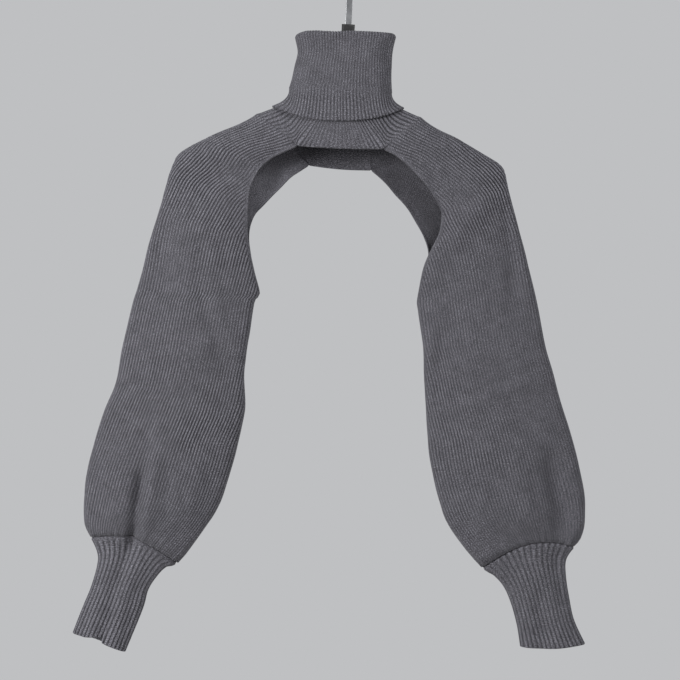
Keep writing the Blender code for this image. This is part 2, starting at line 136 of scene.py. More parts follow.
# outer: the fold along the shoulder and outside of the arm. front, back: the free edges, which meet at
# the underarm. depth: half the thickness of the flattened tube. gape: how open it is towards the body.
# bow: how far the middle of a layer lies below the line between its edges.
Section = namedtuple("Section", "name outer_x outer_z front_x front_z back_x back_z depth gape bow",
                     defaults=[0])


def tube(name, outer_x, outer_z, edge_x, edge_z, depth, bow=0):
    """A section below the underarm, where the two edges are one."""
    return Section(name, outer_x, outer_z, edge_x, edge_z, edge_x, edge_z, depth, 0.0, bow)


LEFT_ARM = [
    Section("raglan seam", -116, -195, -65, -235, -52, -256, 24.0, 1.00),
    Section("shoulder 1", -138, -206, -81, -242, -63, -263, 24.0, 1.00),
    Section("shoulder 2", -163, -216, -97, -250, -75, -271, 23.5, 1.00),
    Section("shoulder 3", -184, -226, -109, -261, -86, -282, 23.0, 0.98),
    Section("shoulder 4", -201, -235, -119, -276, -97, -293, 22.0, 0.95),
    Section("corner", -214, -246, -124, -290, -108, -306, 21.0, 0.90),
    Section("upper arm 1", -223, -266, -126, -309, -118, -317, 20.0, 0.80),
    Section("upper arm 2", -230, -293, -127, -327, -124, -332, 19.5, 0.68),
    Section("upper arm 3", -238, -321, -127, -346, -126, -349, 19.0, 0.52),
    Section("upper arm 4", -247, -350, -124, -367, -124, -368, 18.5, 0.34),
    Section("upper arm 5", -254, -379, -119, -389, -120, -390, 18.5, 0.16),
    tube("underarm", -262, -409, -113, -414, 18.0),
    tube("below underarm", -267, -427, -120, -426, 18.0),
    tube("elbow 1", -279, -481, -129, -483, 19.0),
    tube("elbow 2", -287, -522, -132, -526, 20.0),
    tube("elbow 3", -301, -556, -132, -558, 22.0),
    tube("balloon 1", -313, -593, -141, -598, 25.0),
    tube("balloon 2", -323, -634, -151, -639, 27.0),
    tube("balloon 3", -326, -671, -164, -675, 27.0),
    tube("balloon 4", -325, -695, -182, -704, 23.5, -6),
    tube("cuff seam", -318, -711, -213, -741, 17.0, -14),
    tube("cuff 1", -310, -731, -227, -747, 14.5, -9),
    tube("cuff 2", -311, -747, -238, -758, 13.5, -4),
    tube("cuff 3", -319, -773, -249, -775, 13.0),
    tube("cuff 4", -328, -794, -256, -799, 13.5),
    tube("cuff edge", -341, -827, -277, -850, 14.5, -1),
]

RIGHT_ARM = [
    Section("raglan seam", 85, -200, 38, -239, 24, -262, 24.0, 1.00),
    Section("shoulder 1", 105, -213, 53, -246, 35, -271, 24.0, 1.00),
    Section("shoulder 2", 128, -224, 67, -257, 45, -281, 23.5, 1.00),
    Section("shoulder 3", 148, -236, 79, -269, 54, -292, 23.0, 0.98),
    Section("shoulder 4", 167, -248, 90, -282, 64, -303, 22.0, 0.95),
    Section("corner", 184, -262, 99, -298, 73, -315, 21.0, 0.90),
    Section("upper arm 1", 190, -285, 107, -314, 81, -329, 20.0, 0.82),
    Section("upper arm 2", 197, -312, 109, -331, 89, -344, 19.5, 0.70),
    Section("upper arm 3", 204, -338, 106, -346, 95, -359, 19.0, 0.54),
    Section("upper arm 4", 211, -364, 98, -365, 96, -372, 18.5, 0.36),
    Section("upper arm 5", 217, -389, 89, -390, 90, -392, 18.5, 0.17),
    tube("underarm", 224, -418, 82, -421, 18.0),
    tube("below underarm", 228, -437, 83, -436, 18.0),
    tube("elbow 1", 236, -479, 89, -478, 19.0),
    tube("elbow 2", 245, -510, 90, -510, 20.0),
    tube("elbow 3", 254, -545, 91, -548, 22.0),
    tube("balloon 1", 268, -590, 95, -593, 25.0),
    tube("balloon 2", 278, -630, 99, -630, 27.0),
    tube("balloon 3", 284, -666, 109, -671, 27.0),
    tube("balloon 4", 282, -699, 123, -703, 24.0, -7),
    tube("cuff seam", 271, -722, 160, -747, 17.0, -16),
    tube("cuff 1", 261, -739, 175, -758, 14.5, -10),
    tube("cuff 2", 261, -760, 187, -772, 13.5, -4),
    tube("cuff 3", 265, -786, 196, -793, 13.0),
    tube("cuff 4", 271, -813, 203, -819, 13.5, 1),
    tube("cuff edge", 284, -841, 207, -844, 14.5, 3),
]
ARMS = {"left": LEFT_ARM, "right": RIGHT_ARM}
PLACE_OF = {row.name: place for place, row in enumerate(LEFT_ARM)}
UNDERARM = PLACE_OF["underarm"]
CUFF_SEAM = PLACE_OF["cuff seam"]
CUFF_EDGE = PLACE_OF["cuff edge"]

# Rings of the collar's outer layer. layers: how far its inner layer lies inside it.
Ring = namedtuple("Ring", "name z centre_x half_width half_depth layers")

COLLAR = [
    Ring("top fold", -100.5, -7.3, 60.5, 24.0, 6.0),
    Ring("upper", -120, -8.0, 56.6, 22.5, 5.0),
    Ring("middle", -139, -10.2, 58.0, 22.5, 4.0),
    Ring("lower", -156, -11.6, 59.8, 23.5, 3.0),
    Ring("neck seam", -168, -13.4, 61.9, 25.0, 2.5),
]
NECK_SEAM = len(COLLAR) - 1

# The yoke's lower edge, from the left shoulder round the front: its kind, its ribs and two neck angles.
Stretch = namedtuple("Stretch", "kind ribs start end")

STRETCHES = [
    Stretch("left front", 12, math.pi, math.pi + FRONT_CORNER),
    Stretch("front edge", 18, math.pi + FRONT_CORNER, 2 * math.pi - FRONT_CORNER),
    Stretch("right front", 12, 2 * math.pi - FRONT_CORNER, 2 * math.pi),
    Stretch("right back", 14, 2 * math.pi, 2 * math.pi + BACK_CORNER),
    Stretch("back edge", 14, 2 * math.pi + BACK_CORNER, 3 * math.pi - BACK_CORNER),
    Stretch("left back", 14, 3 * math.pi - BACK_CORNER, 3 * math.pi),
]

# ---- creases: soft troughs, below 0, and ridges ----
# From one point of a layer to another, in x and z, bowed sideways. width: how far it reaches to a side.
# lean: 0 for even flanks, up to 1 for one that is all on the left of a crease that runs down.
Crease = namedtuple("Crease", "layer x0 z0 x1 z1 bow width lean height")


def creases(front, back):
    """The creases of a piece's two layers."""
    return [Crease("front", *row) for row in front] + [Crease("back", *row) for row in back]


SLEEVE_CREASES = {
    "left": creases(front=(
        (-224, -296, -230, -462, 5, 15, 0.2, -4.2),  # hollow behind the outer fold
        (-190, -372, -141, -528, 6, 9, -0.1, -3.6),  # slack from the underarm
        (-168, -392, -182, -504, -5, 11, 0.0, 2.2),
        (-212, -244, -96, -224, 4, 9, 0.0, 2.6),  # over the hanger's arm
        (-204, -268, -80, -250, 8, 11, 0.0, -5.0),
        (-184, -300, -178, -352, 0, 15, 0.0, 2.0),
        (-290, -515, -127, -561, 3, 5, 0.0, -2.2),  # where it was folded for packing
        (-288, -528, -127, -574, 3, 6, 0.0, 2.2),
        (-240, -552, -262, -690, 2, 12, 0.3, -3.6),  # long fold down to the cuff
        (-252, -618, -270, -742, 2, 8, -0.1, -10.0),
        (-272, -610, -294, -712, 3, 9, 0.0, 2.0),
        (-232, -596, -252, -712, 2, 9, 0.0, 3.6),
        (-205, -585, -226, -700, 5, 9, 0.0, -1.5),
        (-180, -600, -206, -716, -4, 10, 0.0, 1.3),
    ), back=(
        (-222, -300, -236, -470, 3, 13, 0.1, -3.4),
        (-180, -384, -150, -505, -5, 10, 0.0, -3.4),
        (-170, -300, -160, -366, 4, 13, 0.0, 2.0),
        (-288, -512, -130, -556, -3, 6, 0.0, -2.0),
        (-287, -525, -128, -570, -3, 6, 0.0, 1.9),
        (-226, -585, -262, -730, -5, 10, -0.4, -6.2),
        (-262, -600, -297, -718, 3, 8, 0.0, -2.4),
        (-202, -590, -236, -712, 4, 9, 0.0, 2.2),
        (-210, -266, -96, -266, 6, 11, 0.0, -3.6),
    )),
    "right": creases(front=(
        (182, -286, 88, -410, 9, 11, 0.0, 4.2),  # ridge from shoulder to underarm
        (188, -296, 197, -440, -4, 14, -0.2, -4.2),
        (96, -252, 122, -330, 6, 9, 0.0, -3.8),
        (120, -262, 134, -292, 2, 10, 0.0, -2.6),
        (92, -248, 58, -238, 2, 7, 0.0, 1.2),
        (152, -238, 74, -214, -4, 9, 0.0, 2.4),
        (124, -430, 104, -548, 5, 9, 0.0, -3.6),
        (150, -452, 140, -536, -4, 11, 0.0, 1.6),
        (252, -504, 103, -561, -4, 6, 0.0, 2.3),
        (252, -492, 103, -548, -4, 5, 0.0, -2.0),
        (238, -604, 258, -718, -3, 16, -0.2, -9.5),
        (264, -600, 276, -700, -3, 8, 0.0, 1.2),
        (192, -596, 216, -708, -4, 10, 0.0, 2.0),
        (158, -596, 180, -722, -5, 10, 0.0, -1.6),
    ), back=(
        (178, -290, 94, -402, 8, 12, 0.0, 3.2),
        (192, -306, 208, -445, -3, 13, 0.0, -3.4),
        (118, -420, 102, -528, 4, 9, 0.0, -2.8),
        (248, -500, 104, -552, -3, 6, 0.0, 2.0),
        (248, -488, 104, -540, -3, 6, 0.0, -1.8),
        (176, -580, 216, -732, -6, 10, 0.4, -5.8),
        (226, -592, 258, -708, 3, 8, 0.0, -2.6),
        (202, -590, 236, -704, -4, 9, 0.0, 1.8),
    )),
}
CUFF_CREASES = {
    "left": creases(front=(
        (-264, -700, -306, -866, 4, 8, 0.35, -6.0),  # the long fold goes on to the hem
        (-262, -742, -290, -870, 5, 7, 0.0, 2.6),
        (-298, -742, -320, -850, 3, 6, 0.0, 1.0),
    ), back=(
        (-264, -716, -304, -860, 4, 8, 0.0, -3.4),
    )),
    "right": creases(front=(
        (230, -765, 236, -880, 2, 10, 0.0, -4.0),
        (250, -716, 262, -805, 3, 8, 0.0, -2.2),
        (212, -748, 222, -860, 2, 9, 0.0, 1.8),
    ), back=(
        (214, -720, 232, -860, -3, 9, 0.0, -3.0),
    )),
}
ARM_CREASES = {side: SLEEVE_CREASES[side] + CUFF_CREASES[side] for side in ARMS}
COLLAR_CREASES = creases(front=(
    (-18, -100, -20, -132, 0, 11, 0.0, -3.0),  # sunk beside the hanger's neck
    (46, -106, 42, -142, 0, 9, 0.0, -2.4),
    (-44, -122, -54, -178, 3, 10, 0.0, 1.8),
    (24, -132, 32, -184, -3, 10, 0.0, 1.6),
    (-20, -146, -19, -184, 0, 13, 0.0, -1.4),
), back=(
    (12, -102, 8, -152, 2, 11, 0.0, -2.6),
    (-40, -118, -48, -172, 2, 10, 0.0, 1.7),
    (36, -136, 42, -184, -2, 9, 0.0, -1.6),
))

# How many ribs have run over the outer fold on to the back, at each row of an arm.
RIB_DRIFT = {
    "left": ((0, 0), (2, -0.2), (3, -0.9), (4, -3.2), (5, -3.6), (6, -1.4), (7, 0.0), (8, 1.0), (11, -1.2),
             (13, -1.2), (16, 0.0), (18, 2.8), (20, 4.4)),
    "right": ((0, 0), (2, -0.3), (3, -1.2), (4, -2.0), (5, -2.4), (6, 0.2), (8, 1.3), (11, -0.4), (14, -0.6),
              (16, -0.2), (18, 1.0), (20, 2.8)),
}
# The share of a sleeve's ribs that one layer has at each row: more are knitted in for the balloon.
RIB_SHARES = ((0, 0.81), (13, 0.80), (16, 0.92), (20, 0.96))
# How far the ribs' crests stand out of the photo's outline along the outer fold, taken off there.
TRIM = {
    "left": ((0, 2.6), (1, 3.1), (4, 3.4), (5, 2.7), (5.5, 3.2), (7, 2.3), (11, 2.0), (13, 0.7), (16, 1.5),
             (19, 0.6), (20, 1.0), (24, 2.4)),
    "right": ((0, 1.8), (3, 1.8), (5, 0.6), (9, 0.4), (18.5, 0.2), (19.6, -2.0), (20, 0.2), (24, 0.5)),
}
# How strongly the ribs stand out at each row of an arm, and spots where they do more or less in front:
# at a share of the way across from the outer fold and at a row, with how far they reach both ways.
RIB_STRENGTH = {
    "left": ((0, 0.7), (3, 0.85), (7, 0.88), (10, 0.82), (13, 0.72), (16, 0.7), (18, 0.6), (20, 0.35)),
    "right": ((0, 0.5), (3, 0.74), (6, 0.75), (9, 0.55), (13, 0.42), (16, 0.5), (18, 0.4), (20, 0.2)),
}
Spot = namedtuple("Spot", "across row wide long gain")

RIB_SPOTS = {
    "left": (
        Spot(0.26, 9.0, 0.2, 2.6, -0.6), Spot(0.28, 5.2, 0.28, 2.2, 0.95), Spot(0.85, 4.0, 0.4, 2.0, -0.35),
        Spot(0.75, 12.8, 0.25, 1.2, -0.45), Spot(0.8, 15.6, 0.3, 1.2, 0.3), Spot(0.5, 18.0, 0.2, 1.5, -0.35),
    ),
    "right": (
        Spot(0.24, 9.0, 0.2, 3.0, -0.35), Spot(0.2, 5.0, 0.28, 2.2, 1.0), Spot(0.62, 5.6, 0.22, 1.3, -0.65),
        Spot(0.5, 8.0, 0.22, 1.2, 0.4), Spot(0.85, 16.5, 0.35, 3.0, 0.5), Spot(0.12, 16.5, 0.25, 2.5, -0.4),
        Spot(0.5, 13.5, 0.25, 1.2, -0.25), Spot(0.9, 3.4, 0.35, 2.0, -0.45),
    ),
}
# A cuff's ribs: their share of the full height, and how much fainter they are towards the inner edge, from
# where across and over how much of it.
CuffLook = namedtuple("CuffLook", "height faint faint_from faint_over")

CUFF_LOOKS = {"left": CuffLook(0.66, 0.4, 0.75, 0.2), "right": CuffLook(0.5, 1.0, 0.7, 0.25)}
# The yoke's ribs fan out: the neck angles, in degrees from its side, where ribs cross the turned-down
# collar's edge, for those that end at the first angles.
FRONT_FAN = ((0, 3, 6, 12, 18, 24, 30, 36, 42, 50, 70, 90),
             (0, 6, 10.5, 17.5, 28.5, 43, 54.5, 61, 63.5, 68, 79.5, 90))
BACK_FAN = ((0, 12, 25, 38, 50, 65, 90), (0, 13, 32, 50, 58, 69, 90))
# How far the left cuff's hem is pulled up in front, across it: a pleat steps down at its middle.
PLEAT = ((0, 0.25, 0.40, 0.565, 0.595, 0.78, 1), (0, 1.4, 6.0, 10.4, 1.0, -1.6, -1.8))
# How the top of the collar sits, by x: it sags at its left end.
COLLAR_TOP = ((-69, -62, -55, -42, -32, -20, -8, 0, 50, 56),
              (-5.0, -2.6, -0.6, 0.0, -0.6, -0.8, 0.8, 1.7, 1.7, 1.0))


# ---- settings a user would change ----

def linear(hex_colour):
    """The linear RGB values of an sRGB hex colour."""
    values = (int(hex_colour[k:k + 2], 16) / 255 for k in (1, 3, 5))
    return tuple(v / 12.92 if v <= 0.04045 else ((v + 0.055) / 1.055) ** 2.4 for v in values)


def colour(name, description, hex_colour):
    """A colour property with that default."""
    return FloatVectorProperty(name=name, description=description, subtype="COLOR", size=3, min=0, max=1,
                               default=linear(hex_colour))


def amount(name, description, default, unit="NONE", least=0.0):
    """A number, in that unit or else in millimetres, that is not below the least."""
    return FloatProperty(name=name, description=description, default=default, unit=unit, min=least)


class KnitSettings(bpy.types.PropertyGroup):
    """Sizes and colours of the knitted cloth"""

    wall: amount("Wall", "Thickness of the cloth in mm", 2.0)
    rib_height: amount("Rib height", "From groove to ridge on the sleeves, in mm", 1.5)
    cuff_rib_height: amount("Cuff rib height", "From groove to ridge on the cuffs, in mm", 1.3)
    course: amount("Course", "Height of one row of stitches in mm", 2.1)
    sleeve_ribs: IntProperty(name="Sleeve ribs", description="Ribs across one layer of a sleeve", default=52)
    collar_ribs: IntProperty(name="Collar ribs", description="Ribs round the collar", default=78)
    cuff_ribs: IntProperty(name="Cuff ribs", description="Ribs across one layer of a cuff", default=16)
    creases: amount("Creases", "Share of each crease's height", 1.0)
    dark_yarn: colour("Dark yarn", "Darkest fibres of the melange", "#1f1f22")
    yarn: colour("Yarn", "Main colour of the melange", "#4c4b50")
    light_yarn: colour("Light yarn", "Lightest fibres of the melange", "#8b8a92")


class HangerSettings(bpy.types.PropertyGroup):
    """Sizes and colours of the hanger"""

    plastic: colour("Plastic", "Colour of the moulded body", "#0c0c0d")
    steel: colour("Steel", "Colour of the hook", "#8f9092")


class StageSettings(bpy.types.PropertyGroup):
    """Camera, light and floor"""

    distance: amount("Distance", "Camera to garment", 3.6, "LENGTH")
    frame_width: amount("Frame width", "Width of the view at the garment", 0.8296, "LENGTH")
    frame_x: amount("Frame centre X", "Middle of the view", -0.014, "LENGTH", least=-10)
    frame_z: amount("Frame centre Z", "Middle of the view", -0.4709, "LENGTH", least=-10)
    floor_z: amount("Floor", "Height of the floor", -1.75, "LENGTH", least=-10)
    key_light: amount("Key light", "Power of the main light", 38.5, "POWER")
    side_light: amount("Side light", "Power of the light on the right", 16.5, "POWER")
    rear_light: amount("Rear light", "Power of the light behind", 30.0, "POWER")
    paper: colour("Background", "Colour of the room's light", "#bfc0c2")
    ground: colour("Floor colour", "Colour of the floor", "#d6d5d3")


# ---- curves and surfaces, with numpy ----

def rows_at(table, places):
    """The table's rows at places from 0 to its last index, on a smooth curve through the rows."""
    values = np.array([row[1:] for row in table], float)
    last = len(values) - 1
    places = np.clip(np.asarray(places, float), 0, last)
    first = np.minimum(places.astype(int), last - 1)
    t = (places - first)[..., None]
    a, b, c, d = (values[np.clip(first + step, 0, last)] for step in (-1, 0, 1, 2))
    curve = 2 * b + (c - a) * t + (2 * a - 5 * b + 4 * c - d) * t ** 2 + (3 * b - a - 3 * c + d) * t ** 3
    return type(table[0])("", *np.moveaxis(curve / 2, -1, 0))


def round_over(t):
    """A quarter circle's rise: 0 at 0, and 1 from 1 on."""
    return np.sqrt(1 - (1 - np.clip(t, 0, 1)) ** 2)


def smooth(t):
    """A soft step from 0 to 1."""
    t = np.clip(t, 0, 1)
    return t * t * (3 - 2 * t)


def bell(distance, width):
    """1 at no distance, fading to nothing at about twice the width."""
    return np.exp(-(distance / width) ** 2)


def table_at(table, places):
    """A table's value at each place, as a column."""
    return np.interp(places, *zip(*table))[:, None]


def unit(vectors):
    """The vectors at length 1."""
    return vectors / np.maximum(np.linalg.norm(vectors, axis=-1, keepdims=True), 1e-12)


def run_along(line):
    """How far along a line of points each of them lies."""
    return np.concatenate([[0], np.cumsum(np.linalg.norm(np.diff(line, axis=0), axis=-1))])


def bezier(p0, p1, p2, p3, t):
    """Points of a cubic Bezier curve."""
    s = 1 - t
    return p0 * s ** 3 + p1 * 3 * s * s * t + p2 * 3 * s * t * t + p3 * t ** 3


def soft_noise(points, size, seed):
    """Smooth noise from -1 to 1 that changes over that many millimetres."""
    cells = 32
    lattice = np.random.default_rng(seed).uniform(-1, 1, (cells, cells, cells))
    scaled = points / size + 1000
    low = np.floor(scaled).astype(int)
    t = smooth(scaled - low)
    total = 0.0
    for corner in np.ndindex(2, 2, 2):
        weight = np.prod([t[..., k] if corner[k] else 1 - t[..., k] for k in range(3)], axis=0)
        total = total + weight * lattice[tuple((low[..., k] + corner[k]) % cells for k in range(3))]
    return total


def crease_height(laid, points, front, share):
    """How far the creases lift points of a front or back layer, in millimetres."""
    lift = np.zeros(points.shape[:-1])
    for crease in laid:
        start = np.array([crease.x0, crease.z0], float)
        run = np.array([crease.x1, crease.z1], float) - start
        size = np.hypot(*run)
        offset = points[..., (0, 2)] - start
        t = offset @ run / size ** 2
        aside = (offset[..., 0] * run[1] - offset[..., 1] * run[0]) / size
        aside = aside - crease.bow * 4 * t * (1 - t)
        ends = smooth((t + 0.08) / 0.35) * smooth((1.08 - t) / 0.35)
        width = crease.width * (1 + crease.lean * np.tanh(aside / 2))
        lift += np.where(front == (crease.layer == "front"), crease.height * bell(aside, width) * ends, 0)
    return lift * share


def rib_ridge(rib, fullness=0.8):
    """A rib's rise from 0 in its grooves to 1, its middle at whole numbers: cords that lie side by side."""
    return np.abs(np.cos(np.pi * rib)) ** fullness


def linked(relief, from_seam):
    """The relief near a seam, where linked stitches flatten it."""
    return PLAIN + (relief - PLAIN) * smooth((from_seam + 1.2) / 2.5)


def shaded(relief, strength):
    """The relief for the material: the contrast of a rib's shade goes with its height."""
    return PLAIN + (relief - PLAIN) * np.minimum(SHADE_LIMIT, strength)


def ribbed(middle, normals, half, tall, relief):
    """The outer face, half a wall from the middle of the cloth, with its ribs."""
    return middle + normals * (half - RIB_SUNK * tall + tall * relief)[..., None]


def stitch_uv(number, points, settings):
    """Each place's rib number and number of courses, as its UV."""
    return np.stack(np.broadcast_arrays(number, row_lengths(points)[:, None] / settings.course), -1)


def ring_index(shape):
    """The vertex numbers of a grid that goes right round, its last column the same as its first."""
    index = np.arange(math.prod(shape)).reshape(shape)
    index[:, -1] = index[:, 0]
    return index


# ---- shells ----

def grid_faces(index, corner_uv):
    """The faces between rows of vertices, as a list, with the UV of each corner. Sides may be shut."""
    upper, lower = index[:-1], index[1:]
    quads = np.stack([upper[:, :-1], lower[:, :-1], lower[:, 1:], upper[:, 1:]], -1).reshape(-1, 4)
    u, l = corner_uv[:-1], corner_uv[1:]
    uv = np.stack([u[:, :-1], l[:, :-1], l[:, 1:], u[:, 1:]], -2).reshape(-1, 4, 2)
    faces, places = [], []
    for corners, spots in zip(quads.tolist(), uv):
        kept = [k for k in range(4) if corners[k] != corners[k - 1]]
        if len(kept) > 2:
            faces.append([corners[k] for k in kept])
            places.append(spots[kept])
    return faces, places


def free_edges(faces):
    """The directed edges that only one face has."""
    edges = {(face[k - 1], face[k]) for face in faces for k in range(len(face))}
    return [edge for edge in edges if edge[::-1] not in edges]


def shell(name, outer, inner, index, corner_uv, relief, rim):
    """A closed shell between two like grids of points in millimetres.

    index numbers the vertex of each grid place, so that places can share one. The outer faces' corners
    run anticlockwise as seen from outside. relief, 0 in a groove and 1 on a rib, is kept for the
    material. rim is how far a free edge bulges at each place.
    """
    count = int(index.max()) + 1

    def at_vertices(grid):
        made = np.zeros((count, *grid.shape[2:]))
        made[index.ravel()] = grid.reshape(-1, *grid.shape[2:])
        return made

    front, back, flat_uv, ridge, bulge = map(at_vertices, (outer, inner, corner_uv, relief, rim))
    faces, places = grid_faces(index, corner_uv)
    edges = sorted(free_edges(faces))
    border = sorted({vertex for edge in edges for vertex in edge})
    middle_of = {vertex: 2 * count + k for k, vertex in enumerate(border)}
    outward = np.zeros((count, 3))
    through = unit(front - back)
    for start, end in edges:
        aside = np.cross(front[end] - front[start], through[start])
        outward[start] += aside
        outward[end] += aside
    middle = (front[border] + back[border]) / 2 + unit(outward[border]) * bulge[border][:, None]
    inside = [[count + vertex for vertex in face[::-1]] for face in faces]
    places += [spots[::-1] for spots in places]
    faces += inside
    for start, end in edges:                                    # the rim, two faces wide
        faces += [[end, start, middle_of[start], middle_of[end]],
                  [middle_of[end], middle_of[start], count + start, count + end]]
        places += [flat_uv[[end, start, start, end]]] * 2
    points = np.concatenate([front, back, middle]) * MM
    # the inner face is plain, with painted light and shade: lighter on the left, and a painted shadow darkest
    # up at the neck, under the front's edge
    inner_painted_shade = 0.55 + 0.45 * smooth((-40 - back[:, 0]) / 40) - 0.4 * smooth((back[:, 2] + 260) / 28)
    ridges = np.concatenate([ridge, inner_painted_shade, ridge[border]])
    used = np.unique(np.concatenate([np.array(face) for face in faces]))
    number = {vertex: k for k, vertex in enumerate(used.tolist())}
    mesh = bpy.data.meshes.new(name)
    mesh.from_pydata(points[used].tolist(), [], [[number[vertex] for vertex in face] for face in faces])
    uvs = np.concatenate(places).astype(np.float32).ravel()
    mesh.uv_layers.new(name="knit").uv.foreach_set("vector", uvs)
    mesh.attributes.new("relief", "FLOAT", "POINT").data.foreach_set("value", ridges[used].astype(np.float32))
    mesh.shade_smooth()
    seam = {number[vertex + layer] for vertex in border if bulge[vertex] < SHARP_RIM for layer in (0, count)}
    for edge in mesh.edges:
        edge.use_edge_sharp = edge.vertices[0] in seam and edge.vertices[1] in seam
    piece = bpy.data.objects.new(name, mesh)
    bpy.context.scene.collection.objects.link(piece)
    return piece


def row_lengths(points):
    """How far along its columns each row lies, in millimetres, on average."""
    steps = np.linalg.norm(np.diff(points, axis=0), axis=-1).mean(1)
    return np.concatenate([[0], np.cumsum(steps)])


# ---- sleeve and cuff ----

def arm_points(table, place, around):
    """Points of the arm's cloth. around runs from -1, the front edge, over the outer fold to 1."""
    row = rows_at(table, place)
    across = np.abs(around)
    in_front = np.asarray(around) < 0
    edge_x = np.where(in_front, row.front_x, row.back_x)
    edge_z = np.where(in_front, row.front_z, row.back_z)
    width = np.hypot(edge_x - row.outer_x, edge_z - row.outer_z)
    gape = np.clip(row.gape, 0, 1)
    fold = np.minimum(FOLD_RADIUS, FOLD_SHARE * row.depth)
    reach = width / (FOLD_REACH * fold)
    edge = gape + (1 - gape) * round_over((1 - across) * reach)
    belly = (1 - gape) * np.sin(np.pi * across) + gape * np.sin(np.pi / 2 * across)
    y = fold * round_over(across * reach) * edge + (row.depth - fold) * belly
    x = row.outer_x + (edge_x - row.outer_x) * across
    z = row.outer_z + (edge_z - row.outer_z) * across - row.bow * np.sin(np.pi * across)
    return np.stack([x, np.where(in_front, -y, y), z], -1)


def arm_normals(table, place, around):
    """The outward directions of the arm's cloth."""
    small = 1e-3
    place, around = np.broadcast_arrays(np.asarray(place, float), np.asarray(around, float))
    last = len(table) - 1
    along = (arm_points(table, np.minimum(place + small, last), around)
             - arm_points(table, np.maximum(place - small, 0), around))
    across = (arm_points(table, place, np.minimum(around + small, 1))
              - arm_points(table, place, np.maximum(around - small, -1)))
    normal = unit(np.cross(along, across))
    mirrored = table[0].outer_x > 0
    return normal if mirrored else -normal


def across_lengths(table, places, side, samples=240):
    """For each place, shares across a layer and how far along the cloth they lie from the outer fold."""
    share = (1 - np.cos(np.pi * np.arange(samples + 1) / samples)) / 2
    points = arm_points(table, places[:, None], side * np.maximum(share, 1e-7)[None, :])
    steps = np.linalg.norm(np.diff(points, axis=1), axis=-1)
    return share, np.concatenate([np.zeros((len(places), 1)), np.cumsum(steps, axis=1)], axis=1)


def even_places(table, first, last, step):
    """Places between two rows of an arm, about that many millimetres apart along its outer fold."""
    fine = np.linspace(first, last, 800)
    run = run_along(arm_points(table, fine, np.full(len(fine), -0.3)))
    rows = max(2, round(run[-1] / step))
    return np.interp(np.linspace(0, run[-1], rows + 1), run, fine)


def rib_columns(ribs, samples):
    """The rib numbers of the columns from 0 to that many ribs."""
    return np.array([rib + sample for rib in range(ribs) for sample in samples] + [ribs])


def shares_at(distances, run, share):
    """For each row, the shares across a layer that lie those distances from the outer fold."""
    return np.stack([np.interp(wanted, so_far, share) for wanted, so_far in zip(distances, run)])


def knit_arm(table, side, places, ribs, open_rows):
    """The columns of a sleeve, from its front edge over the outer fold to its back edge, at each place.

    Returns their around values, rib numbers, relief and vertex columns. Ribs drift over the fold, keep
    their spacing above the underarm, and end there against the band that runs along the edge.
    """
    half = rib_columns(ribs, RIB_SAMPLES)
    columns = np.concatenate([-half[::-1], half[1:]])[None, :]
    band = rib_columns(1, RIB_SAMPLES)[None, 1:]
    drift = table_at(RIB_DRIFT[side], places)
    shown = ribs * table_at(RIB_SHARES, places)
    row = np.arange(len(places))[:, None]
    in_front = columns + drift < 0
    layers = []                                      # front and back: share, run, width of the ribs, spacing
    for way in (-1, 1):
        share, run = across_lengths(table, places, way)
        body = run[:, -1:] - BAND_WIDTH
        pitch = body / (shown + way * drift)
        wide = pitch[open_rows] * (1 + RAGLAN_WIDENING * (1 - places[:, None] / UNDERARM))
        layers.append((share, run, body, np.where(row < open_rows, wide, pitch)))
    body, pitch = (np.where(in_front, layers[0][k], layers[1][k]) for k in (2, 3))
    reached = np.abs(columns + drift) * pitch
    shut = reached >= body - 0.6
    shut[:, [0, -1]] = True
    reached = np.where(shut, body, reached)
    number = np.where(in_front, -1, 1) * reached / pitch - drift
    relief = PLAIN + (rib_ridge(number) - PLAIN) * smooth((body - reached) / RIB_END)
    front_around, back_around = (shares_at(reached, run, share) for share, run, _, _ in layers)
    around = np.where(in_front, -front_around, back_around)

    bands = [way * shares_at(width + band * BAND_WIDTH, run, share)
             for way, (share, run, width, _) in zip((-1, 1), layers)]
    band_number = np.broadcast_to(ribs + band, bands[0].shape)
    band_relief = np.broadcast_to(PLAIN + 0.3 * (rib_ridge(band + 0.5) - 0.4), bands[0].shape)
    around = np.concatenate([bands[0][:, ::-1], around, bands[1]], axis=1)
    number = np.concatenate([-band_number[:, ::-1], number, band_number], axis=1)
    relief = np.concatenate([band_relief[:, ::-1], relief, band_relief], axis=1)

    column = np.broadcast_to(np.arange(around.shape[1]), around.shape).copy()
    inner = slice(band.shape[1], band.shape[1] + columns.shape[1])
    column[:, inner][shut & in_front] = inner.start
    column[:, inner][shut & ~in_front] = inner.stop - 1
    return around, number, relief, column


def off_fold(across):
    """0 at the outer fold, and 1 from a seventh of the way across on."""
    return smooth((across - 0.01) / 0.13)


def off_inner(across):
    """0 at the inner edge, and 1 from an eighth of the way in on."""
    return smooth((1 - across) / 0.12)


def facing_out(side, *grids):
    """An arm's grids, with the columns in the order that turns its faces outwards."""
    return [grid[:, ::-1] for grid in grids] if side == "left" else grids


